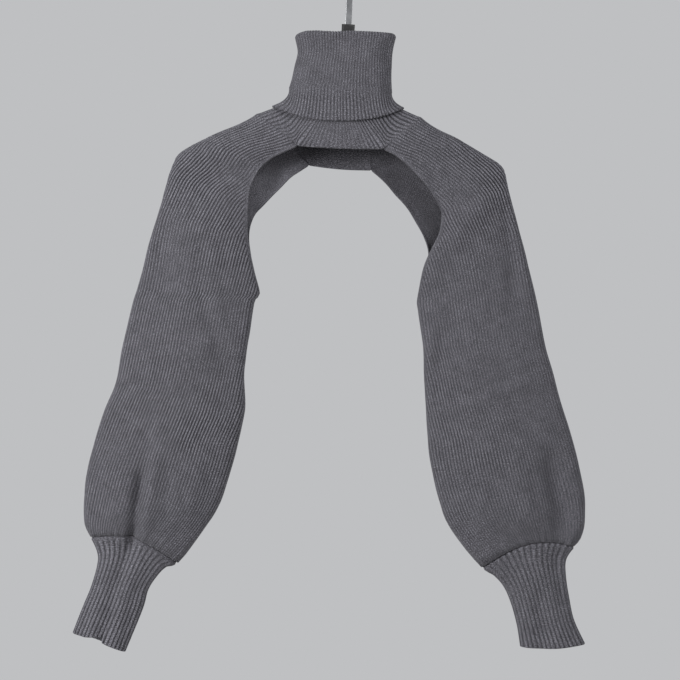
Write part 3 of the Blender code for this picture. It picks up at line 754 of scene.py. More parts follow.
def add_sleeve(side, settings, cloth):
    """One raglan sleeve, from its seam at the yoke to its seam at the cuff."""
    table = ARMS[side]
    upper = even_places(table, 0, UNDERARM, ROW_STEPS[0])
    lower = even_places(table, UNDERARM, CUFF_SEAM, ROW_STEPS[1])
    places = np.concatenate([upper, lower[1:]])
    open_rows = len(upper) - 1
    around, number, relief, column = knit_arm(table, side, places, settings.sleeve_ribs, open_rows)
    key = np.arange(len(places))[:, None] * (column.max() + 1) + column
    key[open_rows:, -1] = key[open_rows:, 0]
    index = np.unique(key, return_inverse=True)[1].reshape(key.shape)
    down = places[:, None]
    across = np.abs(around)
    in_front = around < 0
    points = arm_points(table, np.broadcast_to(down, around.shape), around)
    normals = arm_normals(table, down, around)

    # creases and unevenness, which leave the folds and the seam alone
    shut_edge = smooth((down - UNDERARM + 1.5) / 1.5)
    lift = crease_height(ARM_CREASES[side], points, in_front, settings.creases)
    lift = lift * off_fold(across) * (1 - shut_edge * (1 - off_inner(across))) * smooth(down / 0.7)
    swell = SEAM_SWELL * bell(row_lengths(points)[:, None], SEAM_SWELL_REACH)
    lift += (swell - table_at(TRIM[side], places)) * bell(across, 0.2)
    uneven = soft_noise(points, 46.0, 11) * 1.2 + soft_noise(points, 19.0, 12) * 0.4
    lift += uneven * off_fold(across) * smooth(down / 3)
    opening = smooth((across - CURL_START) / (1 - CURL_START)) * smooth((UNDERARM - down) / 4)
    points[..., 1] += opening * CURL_DEPTH * np.where(in_front, 1, -1)
    gather = smooth((down - (CUFF_SEAM - 0.8)) / 0.8)               # small uneven pleats into the cuff
    pleats = np.sin(number * 1.9 + 0.8 * np.sin(number * 0.37)) * np.sin(number * 0.31 + 1.0)
    lift += gather * (0.9 * pleats + 0.5 * np.sin(np.pi * gather))

    strength = table_at(RIB_STRENGTH[side], places)
    for spot in RIB_SPOTS[side]:
        reach = ((across - spot.across) / spot.wide) ** 2 + ((down - spot.row) / spot.long) ** 2
        strength = strength * (1 + spot.gain * np.exp(-reach) * np.where(in_front, 1, 0.6))
    strength = strength * (1 + 0.3 * soft_noise(points, 22.0, 13))
    half = settings.wall / 2
    start = row_lengths(points)[:, None]
    relief = linked(relief, start)
    middle = points + normals * lift[..., None]
    outer = ribbed(middle, normals, half, settings.rib_height * strength, relief)
    ridge = SEAM_RIDGE * bell(start, SEAM_RIDGE_REACH)
    inner = middle - normals * (half - 0.1 + 0.2 * relief * strength + ridge)[..., None]
    rim = np.full(around.shape, half)
    rim[0], rim[-1] = SEAM_RIM, CUFF_RIM
    grids = facing_out(side, outer, inner, index, stitch_uv(number, points, settings),
                       shaded(relief, strength), rim)
    return dress(shell(f"sleeve_{side}_knit", *grids), cloth, f"sleeve_{side}")


def add_cuff(side, settings, cloth):
    """One deep ribbed cuff."""
    table = ARMS[side]
    look = CUFF_LOOKS[side]
    places = even_places(table, CUFF_SEAM, CUFF_EDGE, ROW_STEPS[2])
    # a row a millimetre in, so that the painted shadow line at the seam stays thin
    places = np.insert(places, 1, places[0] + 0.35 * (places[1] - places[0]))
    columns = rib_columns(settings.cuff_ribs, CORD_SAMPLES)
    halves = []
    for way in (-1, 1):
        share, run = across_lengths(table, places, way)
        halves.append(way * shares_at(columns[None, :] / settings.cuff_ribs * run[:, -1:], run, share))
    around = np.concatenate([halves[0][:, ::-1], halves[1][:, 1:]], axis=1)
    number = np.concatenate([-columns[::-1], columns[1:]])
    down = (places[:, None] - CUFF_SEAM) / (CUFF_EDGE - CUFF_SEAM)
    in_front = around < 0
    across = np.abs(around)
    place_grid = np.broadcast_to(places[:, None], around.shape)
    if side == "left":
        pull = np.where(in_front, np.interp(across, *PLEAT), PLEAT[1][-1] * across)
        place_grid = np.clip(place_grid - pull / HEM_ROW * smooth((down - 0.35) / 0.65), 0, CUFF_EDGE)
    points = arm_points(table, place_grid, around)
    normals = arm_normals(table, place_grid, around)
    points[0] += unit(points[1] - points[0]) * CUFF_GAP
    start = row_lengths(points)[:, None]

    # the ribs: faint towards the inner edge above, and strong again at the hem
    heads = smooth((start - 2.5) / 4) if side == "left" else 1 + 0.25 * bell(start - 2, 2)
    tall = settings.cuff_rib_height * (0.8 + 0.2 * smooth(down / 0.3)) * heads
    faint = look.faint * smooth((across - look.faint_from) / look.faint_over)
    tall = tall * (1 - 0.55 * faint * (1 - smooth((down - 0.3) / 0.5)))
    tall = tall * (1 + 0.18 * soft_noise(points, 20.0, 21)) * look.height
    tall = tall * (1 + 0.3 * smooth((down - 0.55) / 0.4))
    relief = rib_ridge(number, 0.7)

    lift = crease_height(ARM_CREASES[side], points, in_front, settings.creases)
    lift = lift * off_fold(across) * off_inner(across)
    lift += 0.6 * bell(start - 3.5, 2) - 1.3 * bell(start, 1.6)                   # tucked in at the seam
    lift -= table_at(TRIM[side], places) * bell(across, 0.25)
    middle = points + normals * lift[..., None]
    half = settings.wall / 2
    outer = ribbed(middle, normals, half, tall, relief)
    inner = middle - normals * (half - 0.3 + 0.35 * (1 - relief))[:, None]
    # painted shadow: the shade falls to its darkest over the first millimetre, a fine dark line under the
    # sleeve's overhanging edge
    shade = shaded(relief, tall / 1.2) * smooth((start + 0.1) / 1.2)
    rim = np.full(around.shape, half)
    rim[0] = CUFF_RIM
    grids = facing_out(side, outer, inner, ring_index(around.shape), stitch_uv(number, points, settings),
                       shade, rim)
    return dress(shell(f"cuff_{side}_knit", *grids), cloth, f"cuff_{side}")


# ---- neck, yoke and collar ----

def collar_ring(place, angle, inside):
    """Points of the collar's outer layer, or of a ring that much inside it. Angle 0 is the right."""
    ring = rows_at(COLLAR, place)
    cosine, sine = np.cos(angle), np.sin(angle)
    power = 2 / COLLAR_SQUARENESS
    x = (ring.half_width - inside) * np.sign(cosine) * np.abs(cosine) ** power
    y = (ring.half_depth - inside) * np.sign(sine) * np.abs(sine) ** power
    return np.stack([ring.centre_x + x, y, ring.z - math.tan(TILT) * x], -1)


def lower_edge(angle):
    """For neck angles from pi to 3 pi, points of the yoke's lower edge and their outward directions."""
    points = np.zeros((len(angle), 3))
    outward = np.zeros((len(angle), 3))
    for stretch in STRETCHES:
        step = (angle - stretch.start) / (stretch.end - stretch.start)
        here = (step >= -1e-9) & (step <= 1 + 1e-9)
        step = np.clip(step[here], 0, 1)
        share = (1 - np.cos(np.pi * step)) / 2
        if stretch.kind.endswith("edge"):
            side = -1.0 if stretch.kind.startswith("front") else 1.0
            first, last = (LEFT_ARM, RIGHT_ARM) if side < 0 else (RIGHT_ARM, LEFT_ARM)
            start, end = arm_points(first, 0.0, side), arm_points(last, 0.0, side)
            hump = np.sin(np.pi * step)[:, None]
            points[here] = (start + (end - start) * step[:, None]
                            + np.array([0, side * YOKE_BULGE, -YOKE_SAG]) * hump)
            outward[here] = (0, side, 0)
            continue
        around = {"left front": -share, "right front": share - 1,
                  "right back": share, "left back": 1 - share}[stretch.kind]
        small = -1e-6 if stretch.kind.endswith("front") else 1e-6
        around = np.where(np.abs(around) < 1e-6, small, around)
        table = LEFT_ARM if stretch.kind.startswith("left") else RIGHT_ARM
        points[here] = arm_points(table, 0.0, around)
        outward[here] = seam_normals(table, around)
    return points, outward


def seam_normals(table, around):
    """The outward directions of the arm's cloth at the raglan seam."""
    small = 0.02
    low, high = np.maximum(around - small, -1), np.minimum(around + small, 1)
    along = arm_points(table, small, around) - arm_points(table, 0.0, around)
    across = arm_points(table, 0.0, high) - arm_points(table, 0.0, low)
    normal = unit(np.cross(along, across))
    side = np.stack([np.zeros_like(around), np.sign(around), np.zeros_like(around)], -1)
    outward = np.where((np.abs(around) > 0.3)[:, None], side, np.array([0.0, 0.0, 1.0]))
    return np.where((normal * outward).sum(-1, keepdims=True) > 0, normal, -normal)


def yoke_points(angle, down):
    """Points of the yoke, from the neck seam at down 0 to its lower edge at 1.

    The edge's corners are softened above it, where neighbouring lines are averaged.
    """
    spread = CORNER_SOFTNESS * smooth((1 - down) / 0.45) * smooth(np.abs(np.sin(angle)) / 0.5)
    steps = np.linspace(-2, 2, 9)
    weights = np.exp(-steps ** 2 / 2)
    lines = (yoke_line(math.pi + (angle + spread * step - math.pi) % (2 * math.pi), down) for step in steps)
    return sum(weight * line for weight, line in zip(weights / weights.sum(), lines))


def yoke_line(angle, down):
    """Points of straight lines of stitches from the neck to the yoke's edge."""
    edge, outward = lower_edge(angle)
    neck = collar_ring(np.full(len(angle), float(NECK_SEAM)), angle, COLLAR[-1].layers)
    reach = neck - edge
    settle = reach - outward * (reach * outward).sum(-1, keepdims=True)
    below_neck = neck.copy()
    below_neck[:, 2] -= YOKE_DROP * np.linalg.norm(reach, axis=-1)
    return bezier(neck, below_neck, edge + settle * YOKE_SETTLE, edge, down[..., None])


def ring_normals(points):
    """The outward directions of a sheet of rows that go right round."""
    along = np.gradient(points, axis=0)
    wrapped = np.concatenate([points[:, -2:-1], points, points[:, 1:2]], axis=1)
    across = wrapped[:, 2:] - wrapped[:, :-2]
    return unit(np.cross(along, across))


def even_angles(angle, line, ribs, samples):
    """Neck angles whose points on a line are evenly spaced, for each rib's columns, and rib numbers."""
    run = run_along(line)
    number = rib_columns(ribs, samples)
    return np.interp(number / ribs * run[-1], run, angle), number


def yoke_columns():
    """The neck angles where the yoke's columns meet its lower edge, and their rib numbers."""
    angles, numbers, first = [], [], 0
    for stretch in STRETCHES:
        fine = np.linspace(stretch.start, stretch.end, 200)
        angle, number = even_angles(fine, lower_edge(fine)[0], stretch.ribs, RING_SAMPLES)
        angles.append(angle[:-1])
        numbers.append(first + number[:-1])
        first += stretch.ribs
    return np.concatenate([*angles, [3 * math.pi]]), np.concatenate([*numbers, [first]])


def fan_angles(angle, down):
    """The neck angles of those columns at that share of the way down, as the ribs fan out."""
    side = np.round(angle / math.pi) * math.pi
    aside = np.degrees(np.abs(angle - side))
    flap = np.where(angle < 2 * math.pi, np.interp(aside, *FRONT_FAN), np.interp(aside, *BACK_FAN))
    turned = aside + (flap - aside) * min(1.15, (1 - down) / 0.48)
    return side + np.sign(angle - side) * np.radians(turned)


def add_yoke(settings, cloth):
    """The short flared yoke, with its free front and back edges."""
    angle, number = yoke_columns()
    downs = np.linspace(0, 1, 19)
    points = np.stack([yoke_points(fan_angles(angle, down), np.full(len(angle), down)) for down in downs])
    normals = ring_normals(points)
    points[-1] += unit(points[-2] - points[-1]) * VISIBLE_GAP
    down = downs[:, None]
    to_edge = (1 - down) * YOKE_RUN
    at_side = np.abs(np.cos(angle))[None, :]
    lift = 0.6 * soft_noise(points, 30.0, 31) * smooth(down / 0.4) * smooth((1 - down) / 0.3)
    lift += SEAM_SWELL * bell(to_edge, SEAM_SWELL_REACH) * on_shoulder(angle)
    lift -= shoulder_trim(angle, down)

    # the ribs are faint in the middle, and pressed flat under the turned-down collar
    cover = cover_shares(fan_angles(angle, 0.5))[None, :]
    covered = 1 - smooth((down - cover + 0.12) / 0.1)
    strength = 0.22 + np.where(np.cos(angle) < 0, 0.38, 0.62) * smooth((at_side - 0.35) / 0.5)
    strength = strength * (1 + 0.2 * soft_noise(points, 20.0, 32)) * (1 - 0.8 * covered)
    half = settings.wall / 2
    raglan = np.array([any(s.start - 1e-6 < a < s.end + 1e-6 for s in STRETCHES
                           if not s.kind.endswith("edge")) for a in angle])
    from_seam = np.where(raglan, to_edge, YOKE_RUN)
    relief = linked(rib_ridge(number), from_seam)
    middle = points + normals * lift[..., None]
    outer = ribbed(middle, normals, half - 0.3 * covered, settings.rib_height * strength, relief)
    ridge = SEAM_RIDGE * bell(from_seam, SEAM_RIDGE_REACH)
    corners = (2 * math.pi + BACK_CORNER, 3 * math.pi - BACK_CORNER)    # where the yarn's ends are darned in
    aside = NECK_RADIUS * np.min([np.abs(angle - corner) for corner in corners], axis=0)
    knot = KNOT_HEIGHT * bell(aside, KNOT_REACH) * bell(to_edge - KNOT_REACH, KNOT_REACH)
    inner = middle - normals * (half - 0.1 + 0.2 * relief + ridge + knot)[..., None]
    rim = np.full(relief.shape, SLIM_RIM * half)
    rim[0] = rim[-1, raglan] = SEAM_RIM
    return dress(shell("yoke_knit", outer, inner, ring_index(relief.shape),
                       stitch_uv(number, points, settings), shaded(relief, strength), rim), cloth, "yoke")


def on_shoulder(angle):
    """1 at the sides of the neck, and 0 in front and behind."""
    return smooth((np.abs(np.cos(angle)) - 0.8) / 0.2)


def shoulder_trim(angle, down):
    """How far the cloth settles on the shoulders, in millimetres."""
    trim = np.where(np.cos(angle) < 0, TRIM["left"][0][1], TRIM["right"][0][1])
    return trim * smooth(down / 0.5) * on_shoulder(angle)


def cover_shares(angle):
    """The share of the yoke that the turned-down collar covers at each angle, found by halving."""
    lowest = FLAP_BACK + (FLAP_FRONT - FLAP_BACK) * smooth(0.5 - 4 * np.sin(angle))
    low, high = np.zeros(len(angle)), np.ones(len(angle))
    for _ in range(16):
        middle = (low + high) / 2
        point = yoke_points(angle, middle)
        aside = np.abs(point[:, 0] - FLAP_MIDDLE) / FLAP_REACH
        above = point[:, 2] > lowest + (FLAP_TIPS - lowest) * aside ** FLAP_CURVE
        low, high = np.where(above, middle, low), np.where(above, high, middle)
    return low


def flared(angle, share):
    """The neck angles of the collar's columns where its turned-down edge spreads them to the sides."""
    return angle - FLARE * np.sin(2 * angle) * share


def collar_rows(angle, wall):
    """The collar's rows: up the inner layer, over the top fold and down the outer layer on to the yoke.

    Beside each row: 0 on the inner layer, 1 over the fold, 2 on the outer layer and from 3 to 4 on the
    yoke, to the edge.
    """
    tube_rows, fold_rows, flap_rows, cover_rows = 15, 8, 17, 10
    every = np.ones(len(angle))
    rows, kinds = [], []
    for row in range(tube_rows):
        place = NECK_SEAM * (1 - row / tube_rows)
        rows.append(collar_ring(place * every, angle, rows_at(COLLAR, place).layers))
        kinds.append(0)
    rows[0][:, 2] += VISIBLE_GAP
    radius = COLLAR[0].layers / 2
    for row in range(fold_rows + 1):
        turn = math.pi * row / fold_rows
        line = collar_ring(0 * every, angle, radius * (1 + math.cos(turn)))
        line[:, 2] += radius * math.sin(turn)
        rows.append(line)
        kinds.append(1)
    for row in range(1, flap_rows):
        place = NECK_SEAM * row / flap_rows
        rows.append(collar_ring(place * every, flared(angle, FLARE_AT_SEAM * smooth(place - 3)), 0.0))
        kinds.append(2)
    small = 0.02
    gap = LAYER_GAP * (1 - 0.9 * smooth((np.abs(np.cos(angle)) - 0.8) / 0.15))
    for row in range(cover_rows + 1):
        share = row / cover_rows
        turned = flared(angle, FLARE_AT_SEAM + (1 - FLARE_AT_SEAM) * share)
        down = cover_shares(turned) * share
        here = yoke_points(turned, down)
        along = (yoke_points(turned, np.minimum(down + small, 1))
                 - yoke_points(turned, np.maximum(down - small, 0)))
        wrapped = np.concatenate([here[-2:-1], here, here[1:2]])
        normal = unit(np.cross(along, wrapped[2:] - wrapped[:-2]))
        settled = shoulder_trim(turned, down)
        rows.append(here + normal * (wall + gap - 0.5 * settled)[:, None])
        kinds.append(3 + share)
    rows = np.stack(rows)
    height = smooth((rows[..., 2] + math.tan(TILT) * rows[..., 0] + 139) / 36)
    rows[..., 2] += np.interp(rows[..., 0], *COLLAR_TOP) * height
    return rows, np.array(kinds, float)[:, None]


def add_collar(settings, cloth):
    """The turned-down collar: inner layer, top fold and outer layer."""
    fine = np.linspace(math.pi, 3 * math.pi, 4001)
    line = collar_ring(np.full(len(fine), 2.0), fine, 0.0)
    angle, number = even_angles(fine, line, settings.collar_ribs, RING_SAMPLES)
    points, kind = collar_rows(angle, settings.wall)
    normals = ring_normals(points)
    in_front = np.broadcast_to(np.sin(angle) < 0, points.shape[:2])
    side = smooth((np.abs(np.sin(angle)) - 0.1) / 0.4)[None, :]
    lift = crease_height(COLLAR_CREASES, points, in_front, settings.creases) * side
    lift = lift * np.where(kind >= 2, 1, 0.4 * (kind > 0))
    lift += 0.6 * soft_noise(points, 26.0, 41) * ((kind > 0) & (kind < 3))
    lift = np.where(kind >= 3, np.maximum(lift, 0), lift)
    lift += EDGE_STAND_OFF * smooth((kind - 3.72) / 0.28) * side
    lower = smooth((kind - 2.9) / 0.5)
    top = bell(kind - 1, 0.3) * smooth((1 - np.abs(points[..., 0] + 8) / 60) / 0.5)
    strength = np.where(kind < 1, 0.5, 0.33 + 0.3 * lower + 0.25 * top)
    strength = strength * (1 + 0.25 * soft_noise(points, 20.0, 42))
    half = settings.wall / 2
    relief = rib_ridge(number)[None, :] * np.ones_like(kind)
    middle = points + normals * lift[..., None]
    outer = ribbed(middle, normals, half, settings.rib_height * strength, relief)
    inner = middle - normals * (half - 0.25 + 0.15 * relief)[..., None]
    rim = np.full(relief.shape, SLIM_RIM * half)
    rim[0] = SEAM_RIM
    return dress(shell("collar_knit", outer, inner, ring_index(relief.shape),
                       stitch_uv(number, points, settings), shaded(relief, strength), rim), cloth, "collar")


# ---- hanger ----

def hook_outline():
    """The flat hook's outline: its strip's two sides along a bend over the rail and a bend back."""
    radius = HOOK_INNER_RADIUS + STRIP_WIDTH / 2
    drop = math.sqrt(radius ** 2 + 2 * radius * HOOK_RETURN_RADIUS)
    leave = -math.atan2(drop, HOOK_RETURN_RADIUS)
    path = [(radius * math.cos(turn), radius * math.sin(turn) - HOOK_INNER_RADIUS)
            for turn in np.linspace(HOOK_TIP_ANGLE, leave, 61)]
    path += [(HOOK_RETURN_RADIUS * (1 + math.cos(turn)),
              HOOK_RETURN_RADIUS * math.sin(turn) - drop - HOOK_INNER_RADIUS)
             for turn in np.linspace(math.pi + leave, math.pi, 17)[1:]]
    path.append((0.0, NECK_TOP - POCKET_DEPTH + SEAM_GAP))
    path = np.array(path)
    along = unit(np.gradient(path, axis=0))
    along[-1] = (0, -1)
    side = np.stack([along[:, 1], -along[:, 0]], -1) * STRIP_WIDTH / 2
    return np.concatenate([path - side, (path + side)[::-1]])


def arm_top(x):
    """The height of a hanger arm's top line."""
    share = (x - ARM_ROOT_X) / (ARM_TIP_X - ARM_ROOT_X)
    return ARM_APEX - ARM_SLOPE * x + ARM_CROWN * 4 * share * (1 - share)


def body_outline():
    """The hanger body's outline, upright: neck, flares, sloping arms with round tips, and underside."""
    neck_foot = np.array([NECK_HALF_WIDTH, NECK_FLARE_START], float)
    root = np.array([ARM_ROOT_X, arm_top(ARM_ROOT_X)])
    flare = np.linalg.norm(root - neck_foot)
    down = neck_foot - (0, NECK_FLARE_EASE * flare)
    back = root - np.array([1, -ARM_SLOPE]) * NECK_FLARE_EASE * flare
    half = [(NECK_HALF_WIDTH, NECK_TOP)]
    half += [tuple(bezier(neck_foot, down, back, root, t)) for t in np.linspace(0, 1, 15)[:-1]]
    half += [(x, arm_top(x)) for x in np.linspace(ARM_ROOT_X, ARM_TIP_X, 9)]
    tip_z = arm_top(ARM_TIP_X) - ARM_TIP_RADIUS
    half += [(ARM_TIP_X + ARM_TIP_RADIUS * math.cos(turn), tip_z + ARM_TIP_RADIUS * math.sin(turn))
             for turn in np.linspace(math.pi / 2, -math.pi / 2, 13)[1:]]
    underside = arm_top(ARM_ROOT_X) - ARM_ROOT_HEIGHT
    half += [(ARM_ROOT_X, underside), (0.0, underside + ARM_SLOPE * ARM_ROOT_X / 2)]
    return np.array(half + [(-x, z) for x, z in half[-2::-1]], float)


def flat_solid(name, outline, thickness, rounding):
    """A flat solid with rounded edges from an upright outline in millimetres, tilted as the hanger is."""
    curve = bpy.data.curves.new(name, "CURVE")
    curve.dimensions = "2D"
    curve.fill_mode = "BOTH"
    curve.extrude = (thickness / 2 - rounding) * MM
    curve.bevel_depth = rounding * MM
    curve.bevel_resolution = 3
    curve.offset = -rounding * MM
    spline = curve.splines.new("POLY")
    spline.points.add(len(outline) - 1)
    for point, (x, z) in zip(spline.points, outline.tolist()):
        point.co = (x * MM, z * MM, 0, 1)
    spline.use_cyclic_u = True
    piece = bpy.data.objects.new(name, curve)
    bpy.context.scene.collection.objects.link(piece)
    bpy.ops.object.select_all(action="DESELECT")
    piece.select_set(True)
    bpy.context.view_layer.objects.active = piece
    bpy.ops.object.convert(target="MESH")
    piece.rotation_euler = (math.pi / 2, TILT, 0)
    bpy.ops.object.transform_apply(location=True, rotation=True, scale=True)
    bpy.ops.object.mode_set(mode="EDIT")
    bpy.ops.mesh.select_all(action="SELECT")
    bpy.ops.mesh.remove_doubles(threshold=0.00001)
    bpy.ops.mesh.normals_make_consistent(inside=False)
    bpy.ops.object.mode_set(mode="OBJECT")
    piece.data.materials.clear()
    return piece


def even_shading(piece):
    """Smooth shading that leaves the flat sides flat."""
    bpy.context.view_layer.objects.active = piece
    bpy.ops.object.shade_smooth()
    piece.modifiers.new("normals", "WEIGHTED_NORMAL")
    bpy.ops.object.modifier_apply(modifier="normals")


def add_hook(settings):
    """The flat steel hook."""
    hook = flat_solid("hanger_hook_strip", hook_outline(), STRIP_THICKNESS, STRIP_ROUNDING)
    even_shading(hook)
    return dress(hook, steel_material(settings), "hanger_hook", slot="hook_steel")


def add_body(settings):
    """The moulded hanger body, with the pocket in its neck for the hook."""
    body = flat_solid("hanger_body_moulding", body_outline(), BODY_THICKNESS, BODY_ROUNDING)
    bpy.ops.mesh.primitive_cube_add(size=1, location=(NECK_TOP * math.sin(TILT) * MM, 0,
                                                      NECK_TOP * math.cos(TILT) * MM))
    pocket = bpy.context.object
    pocket.scale = [size * MM for size in (STRIP_WIDTH + 2 * SEAM_GAP, STRIP_THICKNESS + 2 * SEAM_GAP,
                                           2 * POCKET_DEPTH)]
    pocket.rotation_euler.y = TILT
    bpy.context.view_layer.objects.active = body
    cut = body.modifiers.new("pocket", "BOOLEAN")
    cut.operation = "DIFFERENCE"
    cut.object = pocket
    bpy.ops.object.modifier_apply(modifier="pocket")
    bpy.data.objects.remove(pocket)
    even_shading(body)
    return dress(body, plastic_material(settings), "hanger_body", slot="hanger_plastic")


# ---- materials ----

KNIT_NAME = "heather_lambswool_rib"


def add_node(tree, kind, inputs=None, output=0, **settings):
    """Adds a node with its settings, values and links, and gives one of its outputs, or for None all."""
    made = tree.nodes.new("ShaderNode" + kind)
    for name, value in settings.items():
        setattr(made, name, value)
    for key, value in (inputs or {}).items():
        if isinstance(value, bpy.types.NodeSocket):
            tree.links.new(value, made.inputs[key])
        else:
            made.inputs[key].default_value = value
    return made.outputs if output is None else made.outputs[output]


def new_material(name, inputs):
    """A material with its node tree and its Principled shader, with those inputs."""
    made = bpy.data.materials.new(name)
    made.use_nodes = True
    shader = made.node_tree.nodes["Principled BSDF"]
    for key, value in inputs.items():
        shader.inputs[key].default_value = value
    return made, made.node_tree, shader


def knit_material(settings):
    """Heather grey lambswool, rib knit on a flat machine.

    A matt, hairy yarn spun from light and dark fibres: no gloss, a pale bloom at grazing angles, each
    stitch a little lighter or darker than the next, and a V of two yarn legs for every stitch. Painted
    shade darkens it in the grooves and lightens it on the ridges.
    """
    made, tree, shader = new_material(KNIT_NAME, {
        "Roughness": 0.92, "Specular IOR Level": 0.15, "Sheen Weight": 0.15, "Sheen Roughness": 0.45,
        "Sheen Tint": (0.8, 0.8, 0.84, 1)})
    where = add_node(tree, "UVMap", uv_map="knit")
    u, v, _ = add_node(tree, "SeparateXYZ", {0: where}, output=None)
    stitch_size = (RIB_SPACING, settings.course, 0)
    flat = add_node(tree, "VectorMath", {0: where, 1: stitch_size}, operation="MULTIPLY")
    solid = add_node(tree, "TexCoord", output="Object")

    # a V for every stitch: from the middle of its column, 0, to the column's sides, 1
    aside = add_node(tree, "Math", {0: u, 1: 0.5}, operation="ADD")
    aside = add_node(tree, "Math", {0: aside}, operation="FRACT")
    aside = add_node(tree, "Math", {0: aside, 1: 0.5}, operation="SUBTRACT")
    aside = add_node(tree, "Math", {0: aside}, operation="ABSOLUTE")
    aside = add_node(tree, "Math", {0: aside, 1: 2.0}, operation="MULTIPLY")
    leg = add_node(tree, "Math", {0: aside, 1: -0.75, 2: v}, operation="MULTIPLY_ADD")
    leg = add_node(tree, "Math", {0: leg, 1: 2 * math.pi}, operation="MULTIPLY")
    leg = add_node(tree, "Math", {0: leg}, operation="SINE")
    fade = add_node(tree, "MapRange", {0: aside, 1: 0.0, 2: 0.22, 3: 0.35, 4: 1.0})
    stitch = add_node(tree, "Math", {0: leg, 1: fade}, operation="MULTIPLY")

    # melange: fibres along the stitches, slow clouds of shade and hairs,
    # and painted shade: darker down in the grooves, lighter on the ridges
    fibre = add_node(tree, "TexNoise", {"Vector": flat, "Scale": 0.85, "Detail": 3.0, "Roughness": 0.7},
                     noise_dimensions="2D")
    cloud = add_node(tree, "TexNoise", {"Vector": solid, "Scale": 70.0, "Detail": 2.0, "Roughness": 0.6})
    hair = add_node(tree, "TexNoise", {"Vector": solid, "Scale": 750.0, "Detail": 2.0, "Roughness": 0.6})
    relief = add_node(tree, "Attribute", attribute_name="relief")
    # painted shade: grooves darker and ridges lighter, with the shade that the shells paint into the relief
    # attribute
    groove = add_node(tree, "MapRange", {0: relief, 1: 0.05, 2: 1.0, 3: -0.19, 4: 0.065})
    shade = add_node(tree, "Math", {0: fibre, 1: 0.66}, operation="MULTIPLY")
    for source, share in ((cloud, 0.10), (hair, 0.24), (groove, 1.0), (stitch, 0.035)):
        shade = add_node(tree, "Math", {0: source, 1: share, 2: shade}, operation="MULTIPLY_ADD")
    ramp = add_node(tree, "ValToRGB", {0: shade})
    bands = ramp.node.color_ramp
    bands.elements[0].position, bands.elements[1].position = 0.28, 0.72
    bands.elements[0].color = (*settings.dark_yarn, 1)
    bands.elements[1].color = (*settings.light_yarn, 1)
    bands.elements.new(0.49).color = (*settings.yarn, 1)
    tree.links.new(ramp, shader.inputs["Base Color"])

    height = add_node(tree, "Math", {0: stitch, 1: 0.6}, operation="MULTIPLY")
    for source, share in ((hair, 0.9), (fibre, 0.6)):
        height = add_node(tree, "Math", {0: source, 1: share, 2: height}, operation="MULTIPLY_ADD")
    bump = add_node(tree, "Bump", {"Strength": 0.6, "Distance": 0.0005, "Height": height})
    tree.links.new(bump, shader.inputs["Normal"])
    return made


def hard_material(name, inputs, stretch, grain, bump, wear, roughness):
    """A hard material: a fine grain as bump, and slow clouds of wear in its roughness.

    stretch: the scale of the grain along each axis. grain, bump and wear: inputs of their nodes.
    roughness: the range in which it wears.
    """
    made, tree, shader = new_material(name, inputs)
    solid = add_node(tree, "TexCoord", output="Object")
    stretched = add_node(tree, "Mapping", {"Vector": solid, "Scale": stretch})
    fine = add_node(tree, "TexNoise", {"Vector": stretched, **grain})
    slow = add_node(tree, "TexNoise", {"Vector": solid, **wear})
    rough = add_node(tree, "MapRange", {0: slow, 1: 0.3, 2: 0.7, 3: roughness[0], 4: roughness[1]})
    bumps = add_node(tree, "Bump", {"Height": fine, **bump})
    tree.links.new(rough, shader.inputs["Roughness"])
    tree.links.new(bumps, shader.inputs["Normal"])
    return made


def plastic_material(settings):
    """Black polystyrene, injection moulded: half matt, with the mould's fine orange-peel grain."""
    return hard_material("moulded_polystyrene", {"Base Color": (*settings.plastic, 1)}, stretch=(1, 1, 1),
                         grain={"Scale": 1600.0, "Detail": 2.0}, bump={"Strength": 0.2, "Distance": 0.0002},
                         wear={"Scale": 60.0, "Detail": 4.0}, roughness=(0.42, 0.58))


def steel_material(settings):
    """Nickel-plated steel strip, brushed along its length: a soft grey sheen with fine lengthwise lines."""
    return hard_material("brushed_nickel_steel", {"Base Color": (*settings.steel, 1), "Metallic": 1.0},
                         stretch=(1, 1, 0.04), grain={"Scale": 2600.0, "Detail": 3.0},
                         bump={"Strength": 0.12, "Distance": 0.0001}, wear={"Scale": 110.0, "Detail": 3.0},
                         roughness=(0.26, 0.40))


def dress(piece, material, *nodes, slot="knit"):
    """Gives a finished piece its material, parents it to the root, and hides the parts that it stands for."""
    piece.data.materials.append(material)
    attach(piece, "root")
    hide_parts(*nodes)
    return piece


# ---- operators ----

class Knitting:
    """What the knitting operators share: each knits its pieces."""

    def execute(self, context):
        settings = context.scene.shrug_knit
        cloth = bpy.data.materials.get(KNIT_NAME) or knit_material(settings)
        for piece, carrier in self.knit(settings, cloth):
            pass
        return {"FINISHED"}


class SHRUG_OT_collar(Knitting, bpy.types.Operator):
    """Knit the turned-down collar"""

    bl_idname = "shrug.collar"
    bl_label = "Collar"
    flat, area = (0.29, 0.175), 0.050

    def knit(self, settings, cloth):
        return [(add_collar(settings, cloth), "hanger_body")]


class SHRUG_OT_yoke(Knitting, bpy.types.Operator):
    """Knit the yoke round the neck"""

    bl_idname = "shrug.yoke"
    bl_label = "Yoke"
    flat, area = (0.48, 0.08), 0.026

    def knit(self, settings, cloth):
        return [(add_yoke(settings, cloth), "hanger_body")]


class SHRUG_OT_sleeves(Knitting, bpy.types.Operator):
    """Knit the two raglan sleeves"""

    bl_idname = "shrug.sleeves"
    bl_label = "Sleeves"
    flat, area = (0.38, 0.60), 0.16

    def knit(self, settings, cloth):
        return [(add_sleeve(side, settings, cloth), "hanger_body") for side in ARMS]


class SHRUG_OT_cuffs(Knitting, bpy.types.Operator):
    """Knit the two deep cuffs"""

    bl_idname = "shrug.cuffs"
    bl_label = "Cuffs"
    flat, area = (0.2, 0.12), 0.022

    def knit(self, settings, cloth):
        return [(add_cuff(side, settings, cloth), f"sleeve_{side}_knit") for side in ARMS]


